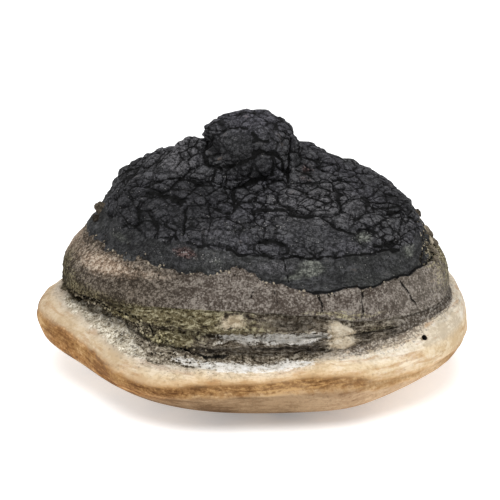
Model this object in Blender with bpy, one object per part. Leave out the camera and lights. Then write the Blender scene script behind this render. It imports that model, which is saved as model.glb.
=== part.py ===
"""A bracket fungus: a hoof-shaped perennial conk, picked from its trunk and standing on its pore surface.

It grew as one piece, so it is one solid. A cracked black crust with an old knob on top covers the
upper half, a grey growth band steps out below it, and a thick pale margin rolls round to the pore
surface underneath. The back is the flat cut where it left the trunk. The front looks along -Y, +Z is
up, and the origin is on the surface that it stands on, under the middle of its box. Metres.
"""

import math
from collections import namedtuple

import bpy
import numpy as np
from mathutils import Vector, noise

# Driving dimensions. The rings below are measured on a conk 199 mm wide, and grow with the width.
# The widest line is the left-to-right line through the tips of the margin.
WIDTH = 0.199
UNIT = WIDTH / 199
CUT_BEHIND_WIDEST = 44.0 * UNIT
FRONT_BEFORE_WIDEST = 89.0 * UNIT
CUT_FACE_Y = (CUT_BEHIND_WIDEST + FRONT_BEFORE_WIDEST) / 2
WIDEST_Y = CUT_FACE_Y - CUT_BEHIND_WIDEST
LEFT_TIP_LONGER_BY = 1.6 * UNIT
WIDEST_X = LEFT_TIP_LONGER_BY / 2

# How finely the form is worked out, and how many of its triangles the solid keeps.
RING_STEPS = 170
TURN_STEPS = 340
BACK_TURN = math.radians(125)
BACK_SHARE = 0.12
KEPT_SHARE = 0.088

# Each ring is one growth line, from the top of the knob down and under to the middle of the pore
# surface. Lengths are in millimetres: a centre from the middle of the widest line, the reach to the
# left, right, front and back of it, how square the plan is on the left and right, and the height at
# the left, right, front and back.
Ring = namedtuple(
    "Ring", "name x y left right front back square_left square_right z_left z_right z_front z_back"
)
RINGS = [
    Ring("apex", -3, 22, 0, 0, 0, 0, 2.0, 2.0, 115.5, 115.5, 115.5, 115.5),
    Ring("knob_top", -2.6, 22, 13.2, 10.3, 9.5, 9, 2.0, 2.0, 115, 114, 114, 114.5),
    Ring("knob_shoulder", -1.8, 21, 20, 18.8, 17, 17, 2.2, 2.2, 109, 109, 108, 109),
    Ring("knob_girth", -1.7, 20, 22, 21.8, 20.5, 21, 2.2, 2.2, 102.5, 103, 99, 101),
    Ring("knob_foot", -2.2, 20, 29, 26, 22, 26, 2.2, 2.2, 100, 99, 89, 95),
    Ring("knob_crease", -2, 20, 36, 33.5, 24, 31, 2.2, 2.2, 96, 94.5, 85, 92.5),
    Ring("dome_crown", -1, 18, 48, 43.5, 32, 40, 2.3, 2.3, 91.5, 89, 81.5, 89.5),
    Ring("dome_shoulder", 0, 15, 60.5, 58, 44, 54, 2.3, 2.3, 84.5, 82, 75.5, 83.5),
    Ring("dome_side", 2, 12, 69, 69, 54.5, 64, 2.3, 2.3, 75.5, 75, 67.5, 76),
    Ring("crust_low", 3, 8, 76.5, 75, 58.5, 70, 2.3, 2.3, 67, 66, 60.5, 67),
    Ring("crust_edge", 2, 5, 81, 79.5, 59, 76, 2.3, 2.3, 61, 60, 56.5, 61),
    Ring("band_top", 1, 4, 85.5, 84.5, 62.5, 80, 2.3, 2.3, 55.5, 56, 54.5, 56),
    Ring("band_bulge", 1, 2, 88, 89, 64.5, 83, 2.3, 2.3, 50, 49, 51.5, 49),
    Ring("band_foot", 1, 1, 88, 89.5, 65, 84, 2.3, 2.3, 44, 43.5, 48.5, 43),
    Ring("band_recess", 1, 0, 87, 88.5, 64, 83, 2.3, 2.3, 42, 41.5, 47, 41),
    Ring("second_ledge", 1, 0, 87.5, 89.5, 68, 84, 2.3, 2.3, 40, 39.5, 40, 39),
    Ring("second_recess", 1, 0, 87, 89.5, 66.5, 84, 2.3, 2.3, 38.8, 38.5, 36.5, 38),
    Ring("third_ledge", 1, 0, 87.5, 90, 70, 84.5, 2.3, 2.3, 37.6, 37.8, 32.5, 37),
    Ring("margin_recess", 1, 0, 88.5, 90.5, 69.5, 85, 2.3, 2.3, 36.5, 37, 29.5, 35.5),
    Ring("margin_top", 0, 0, 92.5, 95.8, 76, 87, 2.2, 2.3, 34.5, 36, 25.5, 34),
    Ring("margin_round", 0, 0, 98, 97.5, 83, 89, 2.1, 2.3, 31, 32, 21.5, 31),
    Ring("lip", 0, 0, 100, 99, 87.5, 90, 2.1, 2.2, 26, 25, 16.5, 25),
    Ring("lip_under", 0, 0, 97.5, 95.5, 84.5, 88, 2.1, 2.2, 19.5, 18, 12.5, 18),
    Ring("belly_edge", 0, 0, 83, 85.5, 79, 80, 2.1, 2.3, 11.5, 11, 7, 10),
    Ring("belly", 0, 0, 69, 71, 68, 70, 2.2, 2.2, 4, 4, 2, 3),
    Ring("rest_edge", 0, 0, 52, 52, 53, 57, 2.2, 2.2, 0.6, 0.6, 0.1, 0.4),
    Ring("rest", 0, 0, 30, 30, 30, 34, 2.0, 2.0, -0.8, -0.8, -0.8, -0.8),
    Ring("underside_middle", 0, 0, 0, 0, 0, 0, 2.0, 2.0, -1, -1, -1, -1),
]
RING_AT = {ring.name: place for place, ring in enumerate(RINGS)}

# Where the form swells or shrinks: the turn from the front in degrees, positive to the right, how
# far the swell spreads to each side, the ring that it is on, how many rings it spreads over, and how
# far it pushes the surface out and up, in millimetres.
Swell = namedtuple("Swell", "what turn turns ring rings out up")
SWELLS = [
    Swell("left flank of the lip drawn in", -60, 16, "lip", 1.7, -7.5, 0),
    Swell("left corner of the lip", -25, 17, "lip", 1.7, 4.5, 0.5),
    Swell("right front of the lip hangs", 56, 22, "lip", 1.4, -0.5, -2.5),
    Swell("left pinch under the band", -62, 22, "margin_recess", 1.5, -11.0, 2.5),
    Swell("left pinch above it", -66, 22, "second_recess", 1.7, -6.0, 1.5),
    Swell("band foot lifts on the left", -42, 26, "band_recess", 1.4, 0.0, 1.5),
    Swell("band foot sinks on the right", 42, 24, "band_recess", 1.3, 1.5, -4.0),
    Swell("right shoulder of the dome", 100, 24, "dome_shoulder", 0.9, 1.0, 1.2),
    Swell("left shoulder of the dome", -112, 24, "dome_shoulder", 0.9, 1.5, 1.5),
    Swell("lump right of the knob", 112, 24, "knob_crease", 0.8, 1.5, 2.0),
    Swell("nodule on the knob", 24, 20, "knob_shoulder", 0.42, 2.6, 0.0),
    Swell("brow of the knob, upper left", -62, 26, "knob_shoulder", 0.4, 2.6, 0.6),
    Swell("hollow in the knob's left flank", -55, 20, "knob_girth", 0.5, -3.0, 0.0),
    Swell("the knob's front bulges low", 5, 38, "knob_girth", 0.9, 2.0, 0.0),
    Swell("ridge down from the knob, left", -96, 24, "knob_foot", 1.3, -1.0, 2.8),
]

# The lower edge of the black crust, and where its plates give way to a smoother band above that
# edge, both as ring numbers at turns in degrees.
CRUST_EDGE = [
    (-180, 9.3), (-67, 9.25), (-40, 9.2), (-33, 9.35), (-15, 9.05), (-3, 9.15), (4, 9.55),
    (12, 9.9), (18, 10.6), (22, 11.3), (28, 11.45), (34, 11.2), (50, 11.05), (64, 10.75), (180, 9.4),
]  # fmt: skip
PLATES_END = [(-180, 8.1), (-66, 8.15), (-45, 8.05), (-25, 7.9), (-10, 8.05), (15, 8.15),
              (32, 8.4), (60, 8.85), (180, 8.3)]  # fmt: skip

# Deep cracks and hollows: the course as (turn in degrees, ring number), then half the width and the
# depth in millimetres. Ring spacing turns a difference in ring number into a length.
RING_SPACING = 4.2 * UNIT
Crack = namedtuple("Crack", "what course half_width depth")
CRACKS = [
    Crack("crescent on the knob", [(-60, 4.3), (-42, 4.2), (-2, 3.1), (42, 2.95), (66, 3.5)], 1.3, 2.0),
    Crack("left of the knob", [(-66, 2.6), (-64, 3.3), (-60, 4.5), (-43, 5.5)], 2.4, 2.8),
    Crack("right of the knob", [(66, 2.7), (58, 4.2), (50, 4.9), (37, 5.4)], 2.2, 2.6),
    Crack("under the knob", [(-43, 5.3), (-20, 5.1), (5, 5.0), (37, 5.3)], 2.0, 2.2),
    Crack("across the crust's front", [(-3, 6.65), (8, 6.75), (24, 6.85)], 1.5, 2.4),
    Crack("short one below it", [(-10, 7.5), (1, 7.65)], 1.3, 1.8),
    Crack("right of the crust", [(33, 6.35), (41, 6.65), (57, 6.6)], 1.3, 1.8),
    Crack("far right of the crust", [(62, 7.2), (78, 6.9), (92, 6.6)], 1.3, 1.6),
    Crack("left of the crust", [(-58, 7.0), (-50, 7.2), (-38, 7.2)], 1.4, 1.8),
    Crack("along the end of the plates", [(-47, 8.1), (-14, 8.0), (10, 8.1), (32, 8.4), (60, 8.85)], 1.2, 1.4),
    Crack("split low in the crust", [(10.2, 8.0), (12.4, 9.7)], 0.9, 1.2),
    Crack("first split in the band", [(24.5, 11.4), (24.2, 13.6)], 0.9, 1.5),
    Crack("second split in the band", [(39.5, 11.2), (38.8, 13.8)], 1.0, 1.9),
    Crack("third split in the band", [(55, 11.0), (59, 13.4)], 0.9, 1.4),
    Crack("under the band, left", [(-80, 13.8), (-64, 14.2), (-53, 14.9), (-41, 15.1)], 2.0, 2.2),
    Crack("on down to the margin", [(-41, 15.1), (-36, 16.7), (-28, 18.2), (-12, 18.2)], 2.2, 2.2),
]

# Sizes of the relief: the plates that the crust has cracked into, its lumps, the gentle swelling of
# the whole surface, and how far the crust stands above the band.
PLATE_SIZE = 10.5 * UNIT
PLATE_FLATTENING = 1.6
PLATE_CRACK_HALF_WIDTH = 1.5 * UNIT
PLATE_CRACK_DEPTH = 1.1 * UNIT
LUMP_SIZE = 15.0 * UNIT
LUMP_HEIGHT = 1.7 * UNIT
SWELLING_SIZE = 38.0 * UNIT
SWELLING_HEIGHT = 1.1 * UNIT
CRUST_THICKNESS = 0.8 * UNIT

# Noise vectors are drawn from the clock unless a seed is set. This one fixes how the plates lie.
PLATE_SEED = 7

CRUST_COLOUR = (0.075, 0.068, 0.062, 1)
CRUST_ROUGHNESS = 0.85


def smooth_step(low, high, value):
    """0 below low, 1 above high, and an even curve between them."""
    t = min(max((value - low) / (high - low), 0.0), 1.0)
    return t * t * (3 - 2 * t)


def curve_through(values, at):
    """Reads rows of values at fractional row numbers, on a cubic that never overshoots them."""
    steps = np.diff(values, axis=0)
    before, after = steps[:-1], steps[1:]
    same_way = before * after > 0
    total = np.where(same_way, before + after, 1.0)
    slopes = np.zeros_like(values)
    slopes[0], slopes[-1] = steps[0], steps[-1]
    slopes[1:-1] = np.where(same_way, 2 * before * after / total, 0.0)
    row = np.clip(np.floor(at).astype(int), 0, len(values) - 2)
    t = (at - row)[:, None]
    start, end = values[row], values[row + 1]
    rise = (2 * t**3 - 3 * t**2 + 1) * start + (3 * t**2 - 2 * t**3) * end
    return rise + (t**3 - 2 * t**2 + t) * slopes[row] + (t**3 - t**2) * slopes[row + 1]


def loft(levels, turns):
    """The smooth form: a grid of points, one row for each level and one column for each turn."""
    shapes = curve_through(np.array([ring[1:] for ring in RINGS], float), levels)
    x, y, left, right, front, back, square_left, square_right, *heights = shapes.T[:, :, None]
    z_left, z_right, z_front, z_back = heights
    across, along = np.sin(turns)[None], np.cos(turns)[None]
    side = np.maximum(np.where(across > 0, right, left), 1e-6)
    reach = np.maximum(np.where(along > 0, front, back), 1e-6)
    square = np.where(across > 0, square_right, square_left)
    radius = ((abs(across) / side) ** square + (abs(along) / reach) ** square) ** (-1 / square)
    side_height = np.where(across > 0, z_right, z_left)
    height = side_height * across**2 + np.where(along > 0, z_front, z_back) * along**2
    for swell in SWELLS:
        away = (np.degrees(turns)[None] - swell.turn + 180) % 360 - 180
        rings_away = levels[:, None] - RING_AT[swell.ring]
        share = np.exp(-((away / swell.turns) ** 2) - (rings_away / swell.rings) ** 2)
        radius = radius + swell.out * share
        height = height + swell.up * share
    points = np.stack([x + radius * across, y - radius * along, height], axis=-1) * UNIT
    return points + (WIDEST_X, WIDEST_Y, 0)


def even_levels(count):
    """Levels from the apex to the middle of the underside, at even steps down the front profile."""
    fine = np.linspace(0, len(RINGS) - 1, 2000)
    profile = loft(fine, np.array([0.0]))[:, 0]
    length = np.concatenate([[0], np.cumsum(np.linalg.norm(np.diff(profile, axis=0), axis=1))])
    return np.interp(np.linspace(0, length[-1], count), length, fine)


def uneven_turns(count):
    """Turns round the form, with few of them in the back that the cut takes away."""
    back_count = round(count * BACK_SHARE)
    kept = np.linspace(-BACK_TURN, BACK_TURN, count - back_count)
    behind = np.linspace(BACK_TURN, 2 * math.pi - BACK_TURN, back_count + 2)[1:-1]
    return np.concatenate([kept, behind])


def outward_normals(points):
    """The smooth form's normal at every grid point."""
    down = np.gradient(points, axis=0)
    round_about = np.roll(points, -1, axis=1) - np.roll(points, 1, axis=1)
    normals = np.cross(down, round_about)
    lengths = np.linalg.norm(normals, axis=2, keepdims=True)
    normals = normals / np.maximum(lengths, 1e-12)
    normals[0], normals[-1] = (0, 0, 1), (0, 0, -1)
    return normals


def crack_cut(level, turn, radius):
    """How deep the named cracks cut at one place, in metres. Radius turns degrees into a length."""
    cut = 0.0
    for crack in CRACKS:
        for start, end in zip(crack.course, crack.course[1:]):
            scale = Vector((radius * math.radians(1), RING_SPACING))
            here = Vector((turn, level)) * scale
            a, b = Vector(start) * scale, Vector(end) * scale
            along = min(max((here - a).dot(b - a) / (b - a).length_squared, 0), 1)
            away = (here - a - (b - a) * along).length
            half_width = crack.half_width * UNIT
            if away < half_width:
                cut = max(cut, crack.depth * UNIT * (1 - (away / half_width) ** 2))
    return cut


def plate_cut(point):
    """How deep the cracks between the crust's plates cut at a point, in metres."""
    here = Vector((point.x, point.y, point.z * PLATE_FLATTENING)) / PLATE_SIZE
    here += noise.noise_vector(point / LUMP_SIZE) * 0.35
    nearest, second = noise.voronoi(here)[1][:2]
    edge = ((nearest + second) / 2 - here).dot((second - nearest).normalized()) * PLATE_SIZE
    return PLATE_CRACK_DEPTH * (1 - smooth_step(0, PLATE_CRACK_HALF_WIDTH, edge))


def relief(level, turn, point, edge_level, plates_end):
    """How far the real surface stands out from the smooth form at one place, in metres."""
    if point.y > CUT_FACE_Y + 0.004:
        return 0.0
    radius = math.hypot(point.x - WIDEST_X, point.y - WIDEST_Y)
    on_crust = 1 - smooth_step(edge_level - 0.25, edge_level + 0.1, level)
    off_belly = 1 - smooth_step(RING_AT["lip_under"], RING_AT["belly"], level)
    out = SWELLING_HEIGHT * noise.noise(point / SWELLING_SIZE) * off_belly
    out += LUMP_HEIGHT * noise.fractal(point / LUMP_SIZE, 0.6, 2.1, 2) * on_crust
    out += CRUST_THICKNESS * on_crust
    plated = 1 - 0.8 * smooth_step(plates_end - 0.2, plates_end + 0.3, level)
    out -= plate_cut(point) * on_crust * plated * smooth_step(0.0, 1.5, level)
    out -= crack_cut(level, turn, radius)
    return out


def surface():
    """The whole surface before it is cut: the loft with its relief."""
    noise.seed_set(PLATE_SEED)
    levels, turns = even_levels(RING_STEPS), uneven_turns(TURN_STEPS)
    points = loft(levels, turns)
    normals = outward_normals(points)
    degrees = (np.degrees(turns) + 180) % 360 - 180
    edges = np.interp(degrees, *zip(*CRUST_EDGE))
    plates_end = np.interp(degrees, *zip(*PLATES_END))
    for row in range(1, len(levels) - 1):
        for column in range(len(turns)):
            place = Vector(points[row, column])
            out = relief(levels[row], degrees[column], place, edges[column], plates_end[column])
            points[row, column] += normals[row, column] * out
    return points


def closed_mesh(name, points):
    """One closed mesh from a grid whose first and last rows each come together in a point."""
    rows, columns = points.shape[:2]
    inner = points[1:-1].reshape(-1, 3)
    top, bottom = len(inner), len(inner) + 1
    vertices = np.vstack([inner, points[0].mean(axis=0), points[-1].mean(axis=0)])
    faces = []
    for column in range(columns):
        following = (column + 1) % columns
        faces.append((top, column, following))
        for row in range(rows - 3):
            here, below = row * columns, (row + 1) * columns
            faces.append((here + column, below + column, below + following, here + following))
        last = (rows - 3) * columns
        faces.append((last + following, last + column, bottom))
    mesh = bpy.data.meshes.new(name)
    mesh.from_pydata(vertices.tolist(), [], faces)
    mesh.validate()
    return mesh


def new_collection(name):
    collection = bpy.data.collections.new(name)
    bpy.context.scene.collection.children.link(collection)
    return collection


def box_cutter(name, low, high, collection):
    """A box from its low corner to its high corner, kept out of the render."""
    bpy.ops.mesh.primitive_cube_add(size=1)
    cutter = bpy.context.object
    cutter.name = name
    low, high = Vector(low), Vector(high)
    cutter.location = (low + high) / 2
    cutter.scale = high - low
    for holder in list(cutter.users_collection):
        holder.objects.unlink(cutter)
    collection.objects.link(cutter)
    cutter.hide_render = True
    cutter.display_type = "WIRE"
    return cutter


def cut_with(body, cutter):
    modifier = body.modifiers.new(cutter.name, "BOOLEAN")
    modifier.operation = "DIFFERENCE"
    modifier.object = cutter


def crust_material():
    material = bpy.data.materials.new("black_crust")
    material.use_nodes = True
    shader = material.node_tree.nodes["Principled BSDF"]
    shader.inputs["Base Color"].default_value = CRUST_COLOUR
    shader.inputs["Roughness"].default_value = CRUST_ROUGHNESS
    shader.inputs["Metallic"].default_value = 0.0
    return material


def build():
    for leftover in list(bpy.data.objects):
        bpy.data.objects.remove(leftover, do_unlink=True)
    fungus = new_collection("bracket_fungus")
    cutters = new_collection("cutters")

    conk = bpy.data.objects.new("conk", closed_mesh("conk", surface()))
    fungus.objects.link(conk)
    conk.data.materials.append(crust_material())

    thin = conk.modifiers.new("fewer_faces", "DECIMATE")
    thin.ratio = KEPT_SHARE
    far = WIDTH
    cut_with(conk, box_cutter("trunk", (-far, CUT_FACE_Y, -far), (far, CUT_FACE_Y + far, far), cutters))
    cut_with(conk, box_cutter("table", (-far, -far, -far), (far, far, 0), cutters))


build()
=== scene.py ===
# %% [markdown]
# # A bracket fungus
#
# This lesson dresses a hoof-shaped bracket fungus, the hard perennial kind that adds a band a year to
# one trunk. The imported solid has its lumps, ledges and main cracks, but only about nine thousand
# faces. Here the same form is made again with a much finer surface. Geometry Nodes weather it and
# sow loose crumbs on it, and one material paints its zones: black crust, grey band, mossy ledges,
# cream margin and tan pore surface. Lengths are in metres. The front looks along -Y.

# %% Load the frame
import math
from collections import namedtuple
from functools import partial

import bmesh
import bpy
import numpy as np
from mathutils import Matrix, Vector, geometry, noise


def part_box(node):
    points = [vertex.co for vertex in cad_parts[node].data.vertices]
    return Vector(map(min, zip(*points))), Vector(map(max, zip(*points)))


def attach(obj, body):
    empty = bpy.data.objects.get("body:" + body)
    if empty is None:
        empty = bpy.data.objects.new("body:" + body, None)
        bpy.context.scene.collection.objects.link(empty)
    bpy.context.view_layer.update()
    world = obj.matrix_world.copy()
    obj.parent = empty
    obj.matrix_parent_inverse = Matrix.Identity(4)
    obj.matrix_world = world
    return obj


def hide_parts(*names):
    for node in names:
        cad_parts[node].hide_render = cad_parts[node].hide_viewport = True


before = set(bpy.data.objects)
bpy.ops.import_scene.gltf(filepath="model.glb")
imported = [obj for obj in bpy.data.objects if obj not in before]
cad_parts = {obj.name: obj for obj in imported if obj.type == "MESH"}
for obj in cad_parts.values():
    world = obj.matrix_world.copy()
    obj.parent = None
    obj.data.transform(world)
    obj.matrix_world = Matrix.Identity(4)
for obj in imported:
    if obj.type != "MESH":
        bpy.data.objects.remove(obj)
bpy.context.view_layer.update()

LOW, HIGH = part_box("conk")
MM = 0.001
CUT_FACE_Y = HIGH[1]
WIDEST_Y = CUT_FACE_Y - 44 * MM
WIDEST_X = 0.8 * MM
print("the solid is", [round((b - a) / MM) for a, b in zip(LOW, HIGH)], "mm in x, y and z")

# %% [markdown]
# ## The form
#
# A conk grows in rings, so its shape is easiest to say ring by ring: how far each growth line reaches
# to the left, right, front and back, and how high it lies there. A smooth curve through the rings
# gives the whole skin. Swells then push it in or out in a few named places. These are the values
# that the solid was made from, so the fine surface and the solid agree.

# %% The rings and swells
Ring = namedtuple(
    "Ring", "name x y left right front back square_left square_right z_left z_right z_front z_back"
)
RINGS = [
    Ring("apex", -3, 22, 0, 0, 0, 0, 2.0, 2.0, 115.5, 115.5, 115.5, 115.5),
    Ring("knob_top", -2.6, 22, 13.2, 10.3, 9.5, 9, 2.0, 2.0, 115, 114, 114, 114.5),
    Ring("knob_shoulder", -1.8, 21, 20, 18.8, 17, 17, 2.2, 2.2, 109, 109, 108, 109),
    Ring("knob_girth", -1.7, 20, 22, 21.8, 20.5, 21, 2.2, 2.2, 102.5, 103, 99, 101),
    Ring("knob_foot", -2.2, 20, 29, 26, 22, 26, 2.2, 2.2, 100, 99, 89, 95),
    Ring("knob_crease", -2, 20, 36, 33.5, 24, 31, 2.2, 2.2, 96, 94.5, 85, 92.5),
    Ring("dome_crown", -1, 18, 48, 43.5, 32, 40, 2.3, 2.3, 91.5, 89, 81.5, 89.5),
    Ring("dome_shoulder", 0, 15, 60.5, 58, 44, 54, 2.3, 2.3, 84.5, 82, 75.5, 83.5),
    Ring("dome_side", 2, 12, 69, 69, 54.5, 64, 2.3, 2.3, 75.5, 75, 67.5, 76),
    Ring("crust_low", 3, 8, 76.5, 75, 58.5, 70, 2.3, 2.3, 67, 66, 60.5, 67),
    Ring("crust_edge", 2, 5, 81, 79.5, 59, 76, 2.3, 2.3, 61, 60, 56.5, 61),
    Ring("band_top", 1, 4, 85.5, 84.5, 62.5, 80, 2.3, 2.3, 55.5, 56, 54.5, 56),
    Ring("band_bulge", 1, 2, 88, 89, 64.5, 83, 2.3, 2.3, 50, 49, 51.5, 49),
    Ring("band_foot", 1, 1, 88, 89.5, 65, 84, 2.3, 2.3, 44, 43.5, 48.5, 43),
    Ring("band_recess", 1, 0, 87, 88.5, 64, 83, 2.3, 2.3, 42, 41.5, 47, 41),
    Ring("second_ledge", 1, 0, 87.5, 89.5, 68, 84, 2.3, 2.3, 40, 39.5, 40, 39),
    Ring("second_recess", 1, 0, 87, 89.5, 66.5, 84, 2.3, 2.3, 38.8, 38.5, 36.5, 38),
    Ring("third_ledge", 1, 0, 87.5, 90, 70, 84.5, 2.3, 2.3, 37.6, 37.8, 32.5, 37),
    Ring("margin_recess", 1, 0, 88.5, 90.5, 69.5, 85, 2.3, 2.3, 36.5, 37, 29.5, 35.5),
    Ring("margin_top", 0, 0, 92.5, 95.8, 76, 87, 2.2, 2.3, 34.5, 36, 25.5, 34),
    Ring("margin_round", 0, 0, 98, 97.5, 83, 89, 2.1, 2.3, 31, 32, 21.5, 31),
    Ring("lip", 0, 0, 100, 99, 87.5, 90, 2.1, 2.2, 26, 25, 16.5, 25),
    Ring("lip_under", 0, 0, 97.5, 95.5, 84.5, 88, 2.1, 2.2, 19.5, 18, 12.5, 18),
    Ring("belly_edge", 0, 0, 83, 85.5, 79, 80, 2.1, 2.3, 11.5, 11, 7, 10),
    Ring("belly", 0, 0, 69, 71, 68, 70, 2.2, 2.2, 4, 4, 2, 3),
    Ring("rest_edge", 0, 0, 52, 52, 53, 57, 2.2, 2.2, 0.6, 0.6, 0.1, 0.4),
    Ring("rest", 0, 0, 30, 30, 30, 34, 2.0, 2.0, -0.8, -0.8, -0.8, -0.8),
    Ring("underside_middle", 0, 0, 0, 0, 0, 0, 2.0, 2.0, -1, -1, -1, -1),
]
RING_AT = {ring.name: place for place, ring in enumerate(RINGS)}
RING_SPACING = 4.2 * MM
DEGREE_SPACING = 1.4 * MM

Swell = namedtuple("Swell", "what turn turns ring rings out up")
SWELLS = [
    Swell("left flank of the lip drawn in", -60, 16, "lip", 1.7, -7.5, 0),
    Swell("left corner of the lip", -25, 17, "lip", 1.7, 4.5, 0.5),
    Swell("right front of the lip hangs", 56, 22, "lip", 1.4, -0.5, -2.5),
    Swell("left pinch under the band", -62, 22, "margin_recess", 1.5, -11.0, 2.5),
    Swell("left pinch above it", -66, 22, "second_recess", 1.7, -6.0, 1.5),
    Swell("band foot lifts on the left", -42, 26, "band_recess", 1.4, 0.0, 1.5),
    Swell("band foot sinks on the right", 42, 24, "band_recess", 1.3, 1.5, -4.0),
    Swell("right shoulder of the dome", 100, 24, "dome_shoulder", 0.9, 1.0, 1.2),
    Swell("left shoulder of the dome", -112, 24, "dome_shoulder", 0.9, 1.5, 1.5),
    Swell("lump right of the knob", 112, 24, "knob_crease", 0.8, 1.5, 2.0),
    Swell("nodule on the knob", 24, 20, "knob_shoulder", 0.42, 2.6, 0.0),
    Swell("brow of the knob, upper left", -62, 26, "knob_shoulder", 0.4, 2.6, 0.6),
    Swell("hollow in the knob's left flank", -55, 20, "knob_girth", 0.5, -3.0, 0.0),
    Swell("the knob's front bulges low", 5, 38, "knob_girth", 0.9, 2.0, 0.0),
    Swell("ridge down from the knob, left", -96, 24, "knob_foot", 1.3, -1.0, 2.8),
]
print(len(RINGS), "rings and", len(SWELLS), "swells")


# %% The skin through the rings
def curve_through(values, at):
    """Reads rows of values at fractional row numbers, on a cubic that never overshoots them."""
    steps = np.diff(values, axis=0)
    before, after = steps[:-1], steps[1:]
    same_way = before * after > 0
    total = np.where(same_way, before + after, 1.0)
    slopes = np.zeros_like(values)
    slopes[0], slopes[-1] = steps[0], steps[-1]
    slopes[1:-1] = np.where(same_way, 2 * before * after / total, 0.0)
    row = np.clip(np.floor(at).astype(int), 0, len(values) - 2)
    t = (at - row)[..., None]
    start, end = values[row], values[row + 1]
    rise = (2 * t**3 - 3 * t**2 + 1) * start + (3 * t**2 - 2 * t**3) * end
    return rise + (t**3 - 2 * t**2 + t) * slopes[row] + (t**3 - t**2) * slopes[row + 1]


def around(degrees, turn):
    """How far round these turns are from one turn, in degrees, the short way."""
    return (degrees - turn + 180) % 360 - 180


def loft(levels, degrees):
    """The smooth form at grids of ring numbers and turns from the front."""
    shapes = curve_through(np.array([ring[1:] for ring in RINGS], float), levels)
    x, y, left, right, front, back, square_left, square_right, *heights = np.moveaxis(shapes, -1, 0)
    z_left, z_right, z_front, z_back = heights
    across, along = np.sin(np.radians(degrees)), np.cos(np.radians(degrees))
    side = np.maximum(np.where(across > 0, right, left), 1e-6)
    reach = np.maximum(np.where(along > 0, front, back), 1e-6)
    square = np.where(across > 0, square_right, square_left)
    radius = ((abs(across) / side) ** square + (abs(along) / reach) ** square) ** (-1 / square)
    side_height = np.where(across > 0, z_right, z_left)
    height = side_height * across**2 + np.where(along > 0, z_front, z_back) * along**2
    for swell in SWELLS:
        away = around(degrees, swell.turn) / swell.turns
        share = np.exp(-(away**2) - ((levels - RING_AT[swell.ring]) / swell.rings) ** 2)
        radius = radius + swell.out * share
        height = height + swell.up * share
    points = np.stack([x + radius * across, y - radius * along, height], axis=-1) * MM
    return points + (WIDEST_X, WIDEST_Y, 0)


# %% [markdown]
# The photograph shows plates a few millimetres wide, so the grid needs steps well under one
# millimetre where it is rough. The belly is smooth, so its rows lie further apart, and the back of
# the rings is about to be cut away, so it gets few columns.

# %% The grid
ROWS = 284
COLUMNS = 352
BACK_COLUMNS = 14
BACK_TURN = 121


def row_levels(count):
    """Ring numbers of the rows, at even steps down the front profile and wider ones below."""
    fine = np.linspace(0, len(RINGS) - 1, 3000)
    profile = loft(fine, np.zeros_like(fine))
    steps = np.linalg.norm(np.diff(profile, axis=0), axis=1)
    fineness = np.interp(fine[1:], [0, 20, 21.5, 23, 27], [1, 1, 0.7, 0.4, 0.3])
    length = np.concatenate([[0], np.cumsum(steps * fineness)])
    return np.interp(np.linspace(0, length[-1], count), length, fine)


def column_turns(count):
    """Turns of the columns from the front, in degrees, few of them behind the cut."""
    kept = np.linspace(-BACK_TURN, BACK_TURN, count - BACK_COLUMNS)
    behind = np.linspace(BACK_TURN, 360 - BACK_TURN, BACK_COLUMNS + 2)[1:-1]
    return np.concatenate([kept, around(behind, 0)])


LEVELS, DEGREES = np.meshgrid(row_levels(ROWS), column_turns(COLUMNS), indexing="ij")
print("grid of", ROWS, "rows and", COLUMNS, "columns")

# %% [markdown]
# ## Relief
#
# Ledges on a living thing wander, so the ring numbers themselves are shifted a little by noise before
# the form is read. Everything else stands out from the form along its normal: lumps and plates in
# the crust, the named cracks, and the thickness of the crust above the grey band.


# %% Noise on the grid
def noise_over(points, size, place=(0, 0, 0)):
    """Blender's noise at every grid point, about -1 to 1, with lumps of this size."""
    offset = Vector(place)
    read = (noise.noise(Vector(point) / size + offset) for point in points.reshape(-1, 3).tolist())
    return np.fromiter(read, float, points.size // 3).reshape(points.shape[:2])


def smooth_step(low, high, value):
    """0 below low, 1 above high, and an even curve between them."""
    t = np.clip((value - low) / (high - low), 0.0, 1.0)
    return t * t * (3 - 2 * t)


WANDER_FROM, WANDER_TO = 12.2, 19.2
CALM = loft(LEVELS, DEGREES)
in_ledges = smooth_step(WANDER_FROM, 13.5, LEVELS) * (1 - smooth_step(18.3, WANDER_TO, LEVELS))
wander = noise_over(CALM, 13 * MM, (3, 1, 7)) * 0.42 + noise_over(CALM, 4.5 * MM, (9, 2, 4)) * 0.16
FORM = loft(LEVELS + wander * in_ledges, DEGREES)
print("the ledges wander by up to", round(float(abs(wander * in_ledges).max() * 4.2), 1), "mm")

# %% [markdown]
# Four lines divide the skin: the lower edge of the black crust, the line above it where the plates
# give way to a smoother band, the upper edge of the margin, and the crease along the lip. Each is a
# list of places that the line passes through, as a turn in degrees and a ring number. The cracks that
# anyone would notice are courses of the same kind, with half their width and their depth. Noise alone
# would never put them in the right places.

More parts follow.
